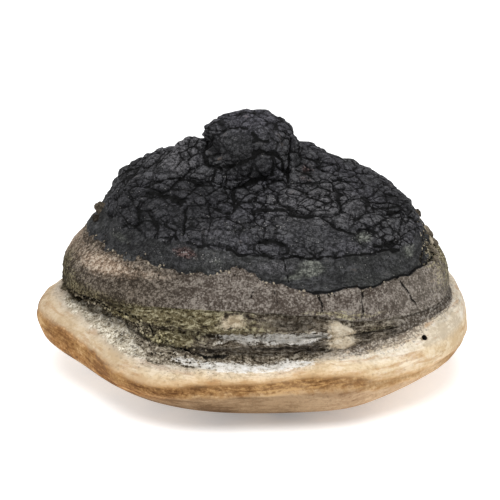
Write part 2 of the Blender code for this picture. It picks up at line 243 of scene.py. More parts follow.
# %% Where the crust ends, and the named cracks
CRUST_EDGE = [
    (-180, 9.3), (-67, 9.25), (-40, 9.2), (-33, 9.35), (-15, 9.05), (-3, 9.15), (4, 9.55),
    (12, 9.9), (18, 10.6), (22, 11.3), (28, 11.45), (34, 11.2), (50, 11.05), (64, 10.75), (180, 9.4),
]  # fmt: skip
PLATES_END = [(-180, 8.1), (-66, 8.15), (-45, 8.05), (-25, 7.9), (-10, 8.0), (14, 8.2),
              (30, 8.43), (45, 8.55), (60, 8.9), (180, 8.3)]  # fmt: skip
MARGIN_LINE = [
    (-180, 18.8), (-92, 18.6), (-80, 18.4), (-74, 18.3), (-63, 18.5), (-52, 18.7), (-44, 18.95),
    (-36, 19.3), (-31, 19.45), (-26, 19.4), (-21, 19.3), (-16, 19.07), (-8, 19.0), (2, 18.84),
    (18, 18.7), (25, 18.25), (31, 17.5), (42, 17.45), (49, 17.5), (56, 17.2), (62, 16.8), (70, 16.4),
    (84, 16.4), (100, 17), (180, 18.8),
]  # fmt: skip
LIP_LINE = [
    (-180, 20.9), (-79, 20.5), (-45, 20.85), (-28, 20.8), (-18, 20.45), (-7, 20.05), (7, 19.95),
    (15, 19.8), (24, 19.95), (30, 20.35), (36, 20.8), (45, 20.8), (52, 21.0), (62, 21.2), (90, 21.4),
    (180, 21.3),
]  # fmt: skip

Crack = namedtuple("Crack", "half_width depth course")
CRACKS = {
    "crescent on the knob": Crack(
        0.65, 1.3, [(-32, 3.45), (2, 2.88), (15, 2.66), (27, 2.68), (39, 3.3), (41, 4.3)]
    ),
    "split in the block under it": Crack(0.6, 1.0, [(26, 2.9), (26.6, 3.8)]),
    "under the nodule": Crack(0.5, 0.9, [(5, 1.8), (7, 2.0), (12, 2.17), (20, 2.18), (30, 1.9)]),
    "under the brow": Crack(0.5, 1.0, [(-72, 1.9), (-44, 1.66), (-17, 1.4), (-2, 1.55)]),
    "hollow left of the knob": Crack(0.8, 1.6, [(-77, 2.84), (-58, 3.6), (-46, 3.85), (-34, 3.6)]),
    "right of the knob": Crack(1.0, 2.2, [(67, 2.6), (55, 3.2), (47, 3.9), (43, 4.6), (41, 5.1)]),
    "corner left under the knob": Crack(0.8, 1.8, [(-60, 5.5), (-48, 5.4), (-35, 5.45)]),
    "under the knob": Crack(0.8, 1.6, [(-35, 5.45), (-17, 4.95), (2, 4.1), (14, 3.85), (37, 4.7)]),
    "down from it": Crack(0.6, 1.2, [(-16, 5.2), (-12.5, 6.4)]),
    "shelf on the far left": Crack(0.7, 1.4, [(-72, 6.6), (-65, 6.1), (-60, 5.75)]),
    "left of the crust": Crack(0.8, 1.6, [(-64, 6.6), (-60, 6.55), (-53, 6.48), (-43, 6.5)]),
    "down through the left plates": Crack(0.6, 1.2, [(-40, 6.7), (-36, 7.2), (-35, 7.6)]),
    "left end of the front crack": Crack(0.7, 1.4, [(-28, 6.45), (-15, 6.55)]),
    "across the crust's front": Crack(0.7, 1.6, [(1, 6.4), (12, 6.22), (24, 6.3), (26, 6.45)]),
    "where it gapes": Crack(1.5, 2.6, [(25, 6.42), (28, 6.6), (34, 6.66)]),
    "its right end": Crack(0.6, 1.3, [(34, 6.66), (37, 6.87), (41, 7.2)]),
    "dark slot above the slate": Crack(1.2, 2.2, [(2, 7.5), (13, 7.56)]),
    "high on the right": Crack(0.7, 1.6, [(66, 5.95), (72, 6.23), (81, 6.45)]),
    "down from it on the right": Crack(0.9, 1.8, [(59, 6.35), (54, 6.6), (50, 6.95)]),
    "low on the right": Crack(0.8, 1.5, [(40, 7.3), (45, 7.68), (44.5, 8.0)]),
    "small arch beside it": Crack(0.7, 1.4, [(47, 7.7), (50, 7.6), (53.6, 7.9)]),
    "far right": Crack(0.8, 1.6, [(66, 7.7), (70, 7.65), (72, 7.8), (70, 8.3), (70, 8.75)]),
    "second fold, far right": Crack(0.7, 1.4, [(77, 7.7), (75, 8.3), (74, 8.8)]),
    "above the slate, right": Crack(0.8, 1.5, [(50, 8.4), (53, 8.49), (60, 8.66)]),
    "along the end of the plates": Crack(
        0.5, 0.9, [(-14, 8.0), (1, 8.02), (13, 8.22), (30, 8.43), (45, 8.55), (60, 8.92)]
    ),
    "split low in the crust": Crack(0.6, 1.2, [(10.2, 8.0), (12.4, 9.7)]),
    "behind the frayed rim": Crack(1.3, 2.4, [(84, 8.9), (76, 9.6), (70, 10.5)]),
    "first split in the band": Crack(1.0, 1.7, [(24.5, 11.4), (24.6, 12.6), (24.2, 13.6)]),
    "second split in the band": Crack(1.6, 2.2, [(39.5, 11.2), (39.0, 12.4), (38.8, 13.8)]),
    "third split in the band": Crack(1.2, 1.5, [(55, 11.0), (59, 13.4)]),
    "fine split in the band": Crack(0.5, 0.8, [(-1, 10.2), (-2, 12.6)]),
    "another beside it": Crack(0.5, 0.8, [(7.5, 10.4), (8, 12.2)]),
    "under the band, left": Crack(2.0, 2.4, [(-80, 13.8), (-64, 14.2), (-53, 14.9), (-41, 15.1)]),
    "on down to the margin": Crack(2.0, 2.0, [(-41, 15.1), (-36, 16.7), (-30, 17.8)]),
    "out along the margin": Crack(1.0, 1.0, [(-30, 17.8), (-22, 18.2), (-10, 18.3)]),
}
WIDEST_LINE = 0.95
CARVED = 0.7


def below(line, levels, degrees):
    """How far below a line of (turn, ring number) each grid point lies, in metres."""
    return (levels - np.interp(degrees, *zip(*line))) * RING_SPACING


def crack_depth(levels, degrees, points, ragged):
    """How deep the named cracks cut at every grid point, in metres, and how near they pass, where 0
    is a crack's middle line and 1 the edge of what is painted dark."""
    radii = np.hypot(points[..., 0] - WIDEST_X, points[..., 1] - WIDEST_Y) * math.radians(1)
    deepest = np.zeros(levels.shape)
    nearest = np.full(levels.shape, 3.0)
    for crack in CRACKS.values():
        for (turn, ring), (next_turn, next_ring) in zip(crack.course, crack.course[1:]):
            x, y = (degrees - turn) * radii, (levels - ring) * RING_SPACING
            run, fall = (next_turn - turn) * radii, (next_ring - ring) * RING_SPACING
            along = np.clip((x * run + y * fall) / (run**2 + fall**2 + 1e-12), 0, 1)
            away = (np.hypot(x - along * run, y - along * fall) + ragged) / MM
            share = np.clip(1 - (away / crack.half_width) ** 2, 0, 1)
            deepest = np.maximum(deepest, crack.depth * CARVED * MM * share)
            nearest = np.minimum(nearest, away / min(crack.half_width, WIDEST_LINE))
    return deepest, nearest


print(len(CRACKS), "named cracks")

# %% [markdown]
# ## Paint
#
# The colours don't follow the shape everywhere: algae, black patches, white bloom, rusty stains, and
# painted shade.
# Each is a soft spot with a turn, its spread, a ring, its spread and a strength, painted into a
# named attribute of the mesh. The material later tears the soft edges up with noise, so nothing
# looks airbrushed. The first paint says where the crust is smooth, which the relief reads as well.

# %% Soft spots of colour
SPOTS = {
    "smooth": [(26, 14, 7.3, 0.6, 0.95), (-40, 10, 6.95, 0.4, 0.9), (-4, 40, 2.2, 1.2, 0.95),
               (-15, 14, 7.5, 0.4, 0.7), (38, 9, 7.9, 0.5, 0.85), (-70, 8, 5.6, 0.5, 0.6)],
    "shade": [(-62, 24, 7.3, 1.1, 0.95), (-8, 44, 2.9, 1.2, 0.95), (-46, 15, 5.8, 0.7, 0.9),
              (-40, 24, 8.7, 0.5, 0.6), (-30, 16, 6.9, 0.9, 0.8), (0, 20, 5.0, 0.5, 0.6),
              (58, 12, 4.0, 0.9, 0.7), (78, 10, 7.4, 1.0, 0.8), (-20, 14, 5.8, 0.5, 0.5),
              (46, 22, 9.6, 0.8, 0.55), (-56, 16, 2.7, 0.8, 1.0), (-58, 16, 8.7, 0.5, 0.8)],
    "pale_patches": [(-72, 19, 4.7, 1.2, 1.0), (-88, 14, 4.4, 1.4, 0.9), (24, 24, 6.2, 1.2, 0.5),
            (52, 20, 6.4, 1.4, 0.7), (6, 14, 8.7, 0.4, 0.8), (-24, 12, 7.3, 0.3, 0.5),
            (66, 14, 8.4, 0.6, 0.5)],
    "haze": [(21.5, 6, 8.9, 0.6, 1.0), (14, 5, 9.4, 0.4, 0.6), (64, 5, 9.3, 0.5, 0.7),
             (48, 5, 7.95, 0.3, 0.9), (-20, 10, 8.5, 0.3, 0.4), (-62, 12, 8.5, 0.3, 0.5)],
    "flecks": [(-4, 14, 7.0, 0.3, 1.0), (16, 10, 6.9, 0.35, 0.8), (20, 9, 5.9, 0.4, 0.8),
               (-50, 10, 6.1, 0.6, 0.4), (-27, 12, 8.4, 0.3, 0.9), (40, 60, 9.6, 0.8, 0.2)],
    "rust": [(61, 7, 4.8, 0.35, 0.8), (-32, 5, 8.3, 0.25, 1.0), (52, 5, 5.4, 0.4, 0.4)],
    "algae": [(-40, 16, 14.2, 1.0, 0.8), (-24, 14, 14.6, 1.1, 0.85), (-50, 7, 15.3, 0.8, 0.8),
              (-32, 7, 17.3, 0.7, 1.0), (-30, 10, 16.7, 0.9, 1.0), (-8, 14, 15.2, 0.9, 0.6),
              (-76, 14, 11.6, 1.8, 0.2), (88, 18, 12.0, 2.2, 0.7), (10, 20, 14.6, 0.7, 0.3),
              (32, 14, 13.2, 0.4, 0.6), (44, 10, 15.2, 0.8, 0.6)],
    "umber": [(-74, 12, 12.7, 1.0, 0.95), (-58, 10, 12.9, 0.7, 0.9), (-45, 9, 13.4, 0.7, 0.8),
              (-30, 12, 13.7, 0.35, 0.7), (-84, 8, 11.6, 1.6, 0.7)],
    "cream": [(-9, 6, 14.7, 0.4, 0.75), (-31, 6, 17.1, 0.45, 0.35), (30.5, 4.8, 14.9, 0.9, 1.0),
              (30, 4.8, 16.0, 1.0, 1.0), (29.5, 4.8, 17.4, 1.0, 1.0)],
    "milk": [(14, 11, 15.95, 0.6, 1.0), (20, 4, 15.85, 0.6, 1.0), (-6, 10, 16.1, 0.55, 0.9),
             (23, 4, 15.6, 0.5, 1.0), (-6, 12, 19.0, 0.28, 1.0), (10, 11, 18.85, 0.28, 1.0),
             (-20, 8, 18.8, 0.3, 0.7), (8, 12, 15.3, 0.3, 0.5)],
    "black_patches": [(8, 13, 17.0, 0.4, 1.0), (19, 4, 17.2, 0.7, 1.0), (14, 12, 14.5, 0.3, 0.6),
             (-15, 10, 17.5, 0.5, 0.9), (38, 4, 16.4, 0.5, 0.7), (47, 2.5, 16.9, 0.3, 0.8),
             (14, 9, 14.4, 0.3, 0.4), (-50, 9, 14.5, 0.8, 0.4), (-37, 5, 16.4, 0.6, 0.4),
             (-26, 6, 17.9, 0.4, 0.4)],
    "bloom": [(-76, 9, 18.6, 0.45, 0.95), (-64, 10, 18.3, 0.95, 1.0), (-54, 8, 18.5, 0.85, 1.0),
              (-45, 7, 19.0, 0.55, 0.95), (-37, 5, 19.25, 0.35, 0.7)],
    "stain": [(-62, 18, 21.4, 0.9, 1.0), (-38, 15, 21.7, 1.0, 1.0), (-85, 14, 21.3, 1.0, 0.9),
              (74, 20, 21.6, 0.8, 0.6), (110, 20, 21.2, 0.9, 0.6), (-70, 9, 20.5, 0.35, 0.8),
              (-52, 8, 20.7, 0.3, 0.7)],
    "tan": [(-96, 22, 20.2, 1.0, 0.8), (-70, 10, 20.3, 0.4, 0.6), (100, 22, 20.8, 0.7, 0.5)],
    "dust": [(60, 14, 15.8, 1.7, 0.95), (74, 14, 15.6, 2.4, 0.95), (32, 12, 18.3, 0.6, 0.7),
             (46, 8, 18.0, 0.5, 0.6), (96, 20, 15.0, 2.0, 0.6), (84, 14, 16.4, 1.2, 0.5)],
    "ochre": [(-62, 14, 10.2, 0.7, 0.9), (-42, 10, 9.9, 0.4, 0.3), (72, 10, 11.6, 0.9, 0.3),
              (-95, 18, 10.6, 1.2, 0.7)],
}  # fmt: skip


def near(value, width):
    """1 where a value is zero, fading to nothing over about twice the width."""
    return np.exp(-((value / width) ** 2))


def spot(turn, turns, ring, rings, lean=0.0):
    """A soft spot on the grid. With a lean its ring rises or falls with the turn."""
    sideways = around(DEGREES, turn)
    return near(sideways, turns) * near(LEVELS - ring - sideways * lean, rings)


def painted(paint):
    """How strongly one paint lies on every grid point, from 0 to 1."""
    clear = np.ones(LEVELS.shape)
    for turn, turns, ring, rings, strength in SPOTS[paint]:
        far = (around(DEGREES, turn) / turns) ** 2 + ((LEVELS - ring) / rings) ** 2
        clear *= 1 - strength * np.exp(-far)
    return 1 - clear


PAINTS = {paint: painted(paint) for paint in SPOTS}
print({paint: round(float(amount.max()), 2) for paint, amount in PAINTS.items()})


# %% [markdown]
# The plates are cells of Voronoi noise: a crack runs wherever a point is equally far from two seeds.
# Heights are squeezed first, so the plates come out wider than they are tall, as on the real crust.
# Blender's noise vectors are drawn from the clock unless a seed is set, so the first line sets one,
# the same as in the solid, and the plates lie in the same places each time.

# %% Plates and lumps
PLATE_SEED = 7
noise.seed_set(PLATE_SEED)
PLATE_SIZE = 10.0 * MM
PLATE_FLATTENING = 1.6
PLATE_CRACK_HALF_WIDTH = 0.8 * MM
PLATE_CRACK_DEPTH = 0.4 * MM
PLATE_SWELL = 0.6 * MM
LUMP_SIZE = 15.0 * MM
LUMP_HEIGHT = 1.7 * MM
SWELLING_SIZE = 38.0 * MM
SWELLING_HEIGHT = 1.3 * MM
CRUST_THICKNESS = 0.35 * MM
RIM_HEIGHT, RIM_WIDTH = 0.95 * MM, 1.0 * MM
UNDERCUT_DEPTH, UNDERCUT_WIDTH = 0.85 * MM, 0.6 * MM
CREASE_DEPTH, CREASE_WIDTH = 1.2, 1.1 * MM
ROLL_HEIGHT, ROLL_WIDTH = 0.7, 2.2 * MM
MARGIN_WAVES = 0.75


def plate_edge(point):
    """How far one point of the crust is from the nearest crack between plates, in metres."""
    here = Vector((point[0], point[1], point[2] * PLATE_FLATTENING)) / PLATE_SIZE
    here += noise.noise_vector(Vector(point) / LUMP_SIZE) * 0.35
    nearest, second = noise.voronoi(here)[1][:2]
    return ((nearest + second) / 2 - here).dot((second - nearest).normalized()) * PLATE_SIZE


def lump(point):
    """The crust's lumps at one point, about -1 to 1."""
    return noise.fractal(Vector(point) / LUMP_SIZE, 0.6, 2.1, 2)


def over_points(function, points, wanted):
    """The function's value at every wanted grid point, and 1 elsewhere."""
    values = np.ones(points.shape[:2])
    values[wanted] = [function(point) for point in points[wanted].tolist()]
    return values


frayed = noise_over(CALM, 12 * MM, (4, 7, 2)) * 2.4
frayed += noise_over(CALM, 3.5 * MM, (5, 5, 1)) * (1.5 - 1.1 * smooth_step(5, 25, DEGREES))
BELOW_CRUST = below(CRUST_EDGE, LEVELS, DEGREES) + frayed * MM
BELOW_PLATES = below(PLATES_END, LEVELS, DEGREES) + noise_over(CALM, 7 * MM, (2, 8, 3)) * 1.2 * MM
BELOW_MARGIN = below(MARGIN_LINE, LEVELS, DEGREES) + noise_over(CALM, 5 * MM, (1, 9, 4)) * 0.8 * MM
BELOW_LIP = below(LIP_LINE, LEVELS, DEGREES) + noise_over(CALM, 16 * MM, (8, 8, 8)) * 0.8 * MM
on_crust = 1 - smooth_step(-0.5 * MM, 0.4 * MM, BELOW_CRUST)
plated = on_crust * (1 - 0.8 * smooth_step(-0.8 * MM, 1.2 * MM, BELOW_PLATES))
plated *= smooth_step(0, 1.5, LEVELS) * (1 - 0.85 * PAINTS["smooth"])
ragged = noise_over(CALM, 2.6 * MM, (1, 4, 2)) * 0.3 * MM
jog = noise_over(CALM, 7 * MM, (7, 3, 1)) * 0.2
plate_gap = over_points(plate_edge, FORM, plated > 0)
grooves = 1 - smooth_step(0, PLATE_CRACK_HALF_WIDTH, plate_gap)
cracked, crack_near = crack_depth(LEVELS + jog, DEGREES + jog * 6, FORM, ragged)
print("crust on", round(float(on_crust.mean()) * 100), "% of the grid")

# %% [markdown]
# What stands out is a sum: slow swellings, lumps and plates on the crust, the rim where the crust
# breaks off, single bosses such as the nodule on the knob, and the crease and roll along the lip. The
# cracks are taken away from it. A blurred copy of the sum then says where the skin lies lower than
# its surroundings, and the material paints shade into those hollows.

# %% The relief on the form
def outward_normals(points):
    """The normal at every point of a grid that closes on itself sideways."""
    down = np.gradient(points, axis=0)
    sideways = np.roll(points, -1, axis=1) - np.roll(points, 1, axis=1)
    normals = np.cross(down, sideways)
    normals /= np.maximum(np.linalg.norm(normals, axis=2, keepdims=True), 1e-12)
    normals[0], normals[-1] = (0, 0, 1), (0, 0, -1)
    return normals


# Turn, its spread, ring, its spread, and how far the boss stands out in millimetres.
BOSSES = {
    "nodule on the knob": (17, 10, 1.68, 0.26, 2.0),
    "pillow of the knob": (6, 34, 2.45, 0.6, 1.2),
    "brow over the recess": (-50, 20, 1.3, 0.22, 1.2),
    "block under the crescent": (8, 20, 3.25, 0.4, 0.9),
    "rope, upper left": (-84, 9, 1.9, 0.22, 1.4),
    "rope below it": (-90, 9, 2.6, 0.28, 1.5),
    "rope by the ridge": (-84, 8, 3.4, 0.3, 1.3),
    "rope, right shoulder": (82, 8, 4.4, 0.32, 1.5),
    "rope below it, right": (88, 8, 5.4, 0.35, 1.6),
    "rope, right edge": (92, 8, 6.5, 0.4, 1.3),
    "rope, left shoulder": (-92, 9, 4.6, 0.35, 1.5),
    "rope, left edge": (-90, 8, 5.9, 0.4, 1.4),
    "belly, right of the middle": (30, 16, 22.6, 1.1, 2.0),
    "first recess filled, right": (64, 17, 14.0, 0.6, 2.0),
    "second recess filled, right": (64, 17, 16.0, 0.8, 2.4),
    "third recess filled, right": (60, 20, 17.9, 0.9, 2.8),
    "cream block": (30, 4.8, 15.7, 1.3, 2.0),
    "its middle": (30, 4.5, 16.1, 0.5, 1.5),
    "its foot": (30, 5.5, 17.5, 0.9, 2.4),
    "moss, left": (-32, 7, 17.0, 0.6, 1.5),
    "more moss": (-24, 5, 17.4, 0.4, 1.0),
    "shelf, far left": (-70, 12, 6.0, 0.28, 1.0),
    "shelf below it": (-58, 12, 7.0, 0.22, 0.9),
    "fold, far right": (73, 5, 7.7, 0.8, 1.0),
    "next fold, far right": (81, 4, 7.8, 0.9, 0.9),
}
lumpiness = (1 - 0.8 * PAINTS["smooth"]) * (1 - 0.5 * smooth_step(-50, -10, DEGREES))
lumpiness += 0.5 * smooth_step(60, 75, abs(DEGREES)) * smooth_step(2.5, 3.5, LEVELS)
off_belly = 1 - smooth_step(RING_AT["lip_under"], RING_AT["belly"], LEVELS)
out = SWELLING_HEIGHT * noise_over(FORM, SWELLING_SIZE) * off_belly
out += LUMP_HEIGHT * over_points(lump, FORM, on_crust > 0) * on_crust * lumpiness
out += CRUST_THICKNESS * on_crust
out -= PLATE_CRACK_DEPTH * grooves * plated
out += PLATE_SWELL * (smooth_step(0, 3.6 * MM, plate_gap) - 0.6) * plated
out -= cracked
rim = near(BELOW_CRUST - RIM_WIDTH, RIM_WIDTH) * (0.6 + noise_over(CALM, 5 * MM, (2, 2, 9)))
out += RIM_HEIGHT * rim
out -= UNDERCUT_DEPTH * near(BELOW_CRUST + 0.5 * MM, UNDERCUT_WIDTH)
for turn, turns, ring, rings, height in BOSSES.values():
    out += height * MM * spot(turn, turns, ring, rings)
on_margin = smooth_step(18.4, 19.2, LEVELS) * (1 - smooth_step(21, 23, LEVELS))
out += on_margin * noise_over(CALM, 9 * MM, (6, 1, 1)) * MARGIN_WAVES * MM
before_right_end = 1 - smooth_step(62, 80, DEGREES)
crease = near(BELOW_LIP - 0.8 * MM, CREASE_WIDTH) * smooth_step(-50, -15, DEGREES)
out -= crease * before_right_end * CREASE_DEPTH * MM
roll = near(BELOW_LIP + 2.4 * MM, ROLL_WIDTH) * smooth_step(-80, -50, DEGREES)
out += roll * before_right_end * ROLL_HEIGHT * MM


def blurred(grid, reach):
    """The grid smoothed over this many cells each way, round the turns and down the rings."""
    for axis in (0, 1):
        total = sum(np.roll(grid, shift, axis=axis) for shift in range(-reach, reach + 1))
        grid = total / (2 * reach + 1)
    return grid


def hollowed(reach, most):
    """How far the relief lies below its surroundings, in millimetres, up to a limit."""
    return np.clip((blurred(out, reach) - out) / MM, -most, most)


# How far the skin lies below its surroundings, which the material paints as shade
HOLLOW_SHADE = hollowed(4, 1) * 0.6 + hollowed(9, 1.5) * 0.4
SKIN = FORM + outward_normals(FORM) * (out * (FORM[..., 1] < CUT_FACE_Y + 4 * MM))[..., None]
SKIN[..., 2] = np.maximum(SKIN[..., 2], 0)
print("relief from", round(float(out.min() / MM), 1), "to", round(float(out.max() / MM), 1), "mm")

# %% [markdown]
# Crumbs of crust and grit lie where the crust breaks off, in the hollow under the band on the left,
# and along the frayed right edge. One more attribute says how thickly they lie.


# %% Where crumbs lie
edge_crumbs = near(BELOW_CRUST - 0.2 * MM, 1.3 * MM) * (0.25 + 0.75 * near(around(DEGREES, -18), 50))
frayed_crumbs = spot(84, 10, 10.2, 1.1)
RUBBLE = spot(-44, 24, 15.9, 1.7, 0.05) + spot(-100, 50, 7.2, 1.7) * 0.6 + spot(-82, 14, 12.6, 1.8) * 0.6
RUBBLE += spot(-86, 16, 2.4, 0.9) * 0.5 + spot(64, 20, 4.6, 1.3) * 0.3 + spot(-58, 16, 7.2, 0.8) * 0.35
RUBBLE = np.clip(RUBBLE + frayed_crumbs * 0.6, 0, 1)
CRUMBS = edge_crumbs * 0.42 + spot(-46, 20, 16.8, 1.5, 0.06) * 0.9 + frayed_crumbs * 0.9
CRUMBS += spot(-62, 12, 15.2, 1.4) * 0.6
CRUMBS = np.clip(CRUMBS * (1 - smooth_step(-1 * MM, 0, BELOW_MARGIN)), 0, 1)
print("crumbs on", round(float((CRUMBS > 0.3).mean()) * 100, 1), "% of the grid")

# %% [markdown]
# Everything so far is a grid of numbers. The grid becomes a mesh, closed at the apex and under the
# middle, and each grid of numbers becomes a named attribute of its points. Geometry Nodes and the
# material both read those, so shape and colour can't drift apart.

# %% The mesh with its attributes
def closed_mesh(name, points):
    """One closed mesh from a grid whose first and last rows each come together in a point."""
    rows, columns = points.shape[:2]
    inner = points[1:-1].reshape(-1, 3)
    top, bottom = len(inner), len(inner) + 1
    vertices = np.vstack([inner, points[0].mean(axis=0), points[-1].mean(axis=0)])
    faces = []
    for column in range(columns):
        following = (column + 1) % columns
        faces.append((top, column, following))
        for row in range(rows - 3):
            here, under = row * columns, (row + 1) * columns
            faces.append((here + column, under + column, under + following, here + following))
        last = (rows - 3) * columns
        faces.append((last + following, last + column, bottom))
    mesh = bpy.data.meshes.new(name)
    mesh.from_pydata(vertices.tolist(), [], faces)
    return mesh


def give(mesh, name, grid):
    """Writes a grid of numbers, or of vectors, to a named attribute of the mesh."""
    values = grid[1:-1].reshape((-1,) + grid.shape[2:])
    ends = np.stack([grid[0].mean(axis=0), grid[-1].mean(axis=0)])
    values = np.concatenate([values, ends])
    kind, key = ("FLOAT_VECTOR", "vector") if grid.ndim == 3 else ("FLOAT", "value")
    attribute = mesh.attributes.new(name, kind, "POINT")
    attribute.data.foreach_set(key, values.astype(np.float32).ravel())


rough_skin = bpy.data.objects.new("rough_skin", closed_mesh("rough_skin", SKIN))
bpy.context.scene.collection.objects.link(rough_skin)
growth = np.stack([DEGREES * DEGREE_SPACING, LEVELS * RING_SPACING, np.zeros_like(LEVELS)], axis=-1)
give(rough_skin.data, "growth", growth)
give(rough_skin.data, "below_crust", BELOW_CRUST / MM)
give(rough_skin.data, "below_plates", BELOW_PLATES / MM)
give(rough_skin.data, "below_margin", BELOW_MARGIN / MM)
give(rough_skin.data, "below_lip", BELOW_LIP / MM)
give(rough_skin.data, "plate_gap", np.clip(plate_gap / MM, 0, 6))
give(rough_skin.data, "crack_near", np.clip(crack_near, 0, 3))
give(rough_skin.data, "hollow", HOLLOW_SHADE * 0.5 + 0.5)
give(rough_skin.data, "crumbs", CRUMBS)
give(rough_skin.data, "rubble", RUBBLE)
for paint, amount in PAINTS.items():
    give(rough_skin.data, paint, amount)
print(len(rough_skin.data.polygons), "faces before the cut")

# %% [markdown]
# ## Node helpers
#
# Geometry Nodes and shader nodes are built the same way: add a node, set or link its inputs, use its
# output. Three small helpers keep the trees below readable, and serve both kinds.


# %% Helpers for every tree
def add(tree, kind, inputs=None, **settings):
    """Adds a node with these settings, and sets or links its inputs by name or number."""
    made = tree.nodes.new(kind)
    for name, value in settings.items():
        setattr(made, name, value)
    for name, value in (inputs or {}).items():
        if isinstance(value, bpy.types.NodeSocket):
            tree.links.new(value, made.inputs[name])
        else:
            made.inputs[name].default_value = value
    return made


def calc(tree, operation, *values):
    """A Math node's result. A sum, a product or a maximum may take more than two values."""
    if operation in ("ADD", "MULTIPLY", "MAXIMUM") and len(values) > 2:
        values = (calc(tree, operation, *values[:-1]), values[-1])
    return add(tree, "ShaderNodeMath", dict(enumerate(values)), operation=operation).outputs[0]


def step(tree, value, low, high, at_low=0.0, at_high=1.0):
    """A soft step of a value from at_low to at_high between two limits."""
    limits = {"Value": value, "From Min": low, "From Max": high, "To Min": at_low, "To Max": at_high}
    return add(tree, "ShaderNodeMapRange", limits, interpolation_type="SMOOTHSTEP").outputs["Result"]


def crack_distance(tree, place, cell, flattening, wander_size, wander):
    """How far a place is from the nearest line between cells, in millimetres. The same nodes serve
    the weathering and the material, so the colour falls into the grooves."""
    drift = add(tree, "ShaderNodeTexNoise", {"Vector": place, "Scale": 1 / wander_size, "Detail": 2.0})
    centred = add(tree, "ShaderNodeVectorMath", {0: drift.outputs["Color"], 1: (-0.5, -0.5, -0.5)})
    scaled = add(
        tree, "ShaderNodeVectorMath", {0: centred.outputs[0], "Scale": wander}, operation="SCALE"
    )
    moved = add(tree, "ShaderNodeVectorMath", {0: place, 1: scaled.outputs[0]})
    squeezed = add(
        tree, "ShaderNodeVectorMath", {0: moved.outputs[0], 1: (1, 1, flattening)}, operation="MULTIPLY"
    )
    cells = add(
        tree,
        "ShaderNodeTexVoronoi",
        {"Vector": squeezed.outputs[0], "Scale": 1 / cell, "Randomness": 1.0},
        feature="DISTANCE_TO_EDGE",
    )
    return calc(tree, "MULTIPLY", cells.outputs["Distance"], cell / MM)


def material_named(name):
    """A new material, with its tree and its shader."""
    made = bpy.data.materials.new(name)
    made.use_nodes = True
    return made, made.node_tree, made.node_tree.nodes["Principled BSDF"]


FINE_CELL, FINE_FLATTENING = 5.4 * MM, 1.6
FINE_WANDER_SIZE, FINE_WANDER = 6 * MM, 1.6 * MM

# %% [markdown]
# ## Weathering with Geometry Nodes
#
# The big plates of the real crust are crossed by finer cracks, the grey band is as gritty as
# sandpaper, and the margin is almost smooth. A Geometry Nodes tree moves each point along its normal
# by fine cracks and grit, as much as the zone that it lies in asks for. It also keeps each point's
# place from before, which the material reads to draw the same cracks in colour.


# %% The weathering tree
skin_material, skin_tree, skin_shader = material_named("fungus_skin")


def named(tree, name, kind="FLOAT"):
    """A named attribute's value inside Geometry Nodes."""
    return add(tree, "GeometryNodeInputNamedAttribute", {"Name": name}, data_type=kind).outputs[0]


def new_geometry_tree(name, inputs):
    """A Geometry Nodes tree with a mesh in, a mesh out and named numbers."""
    tree = bpy.data.node_groups.new(name, "GeometryNodeTree")
    tree.interface.new_socket("Geometry", in_out="INPUT", socket_type="NodeSocketGeometry")
    for label, value in inputs.items():
        kind = "NodeSocketInt" if isinstance(value, int) else "NodeSocketFloat"
        tree.interface.new_socket(label, in_out="INPUT", socket_type=kind).default_value = value
    tree.interface.new_socket("Geometry", in_out="OUTPUT", socket_type="NodeSocketGeometry")
    return tree, add(tree, "NodeGroupInput").outputs, add(tree, "NodeGroupOutput")


WEATHERING = {
    "Crack Half Width": 0.7, "Crack Depth": 0.2, "Pillow": 0.22, "Grit": 0.35, "Lumps": 0.4,
    "Pebble Size": 3.6, "Pebble Height": 2.8, "Streaks": 2.8, "Crumble Size": 2.6, "Crumble": 2.6,
}  # fmt: skip


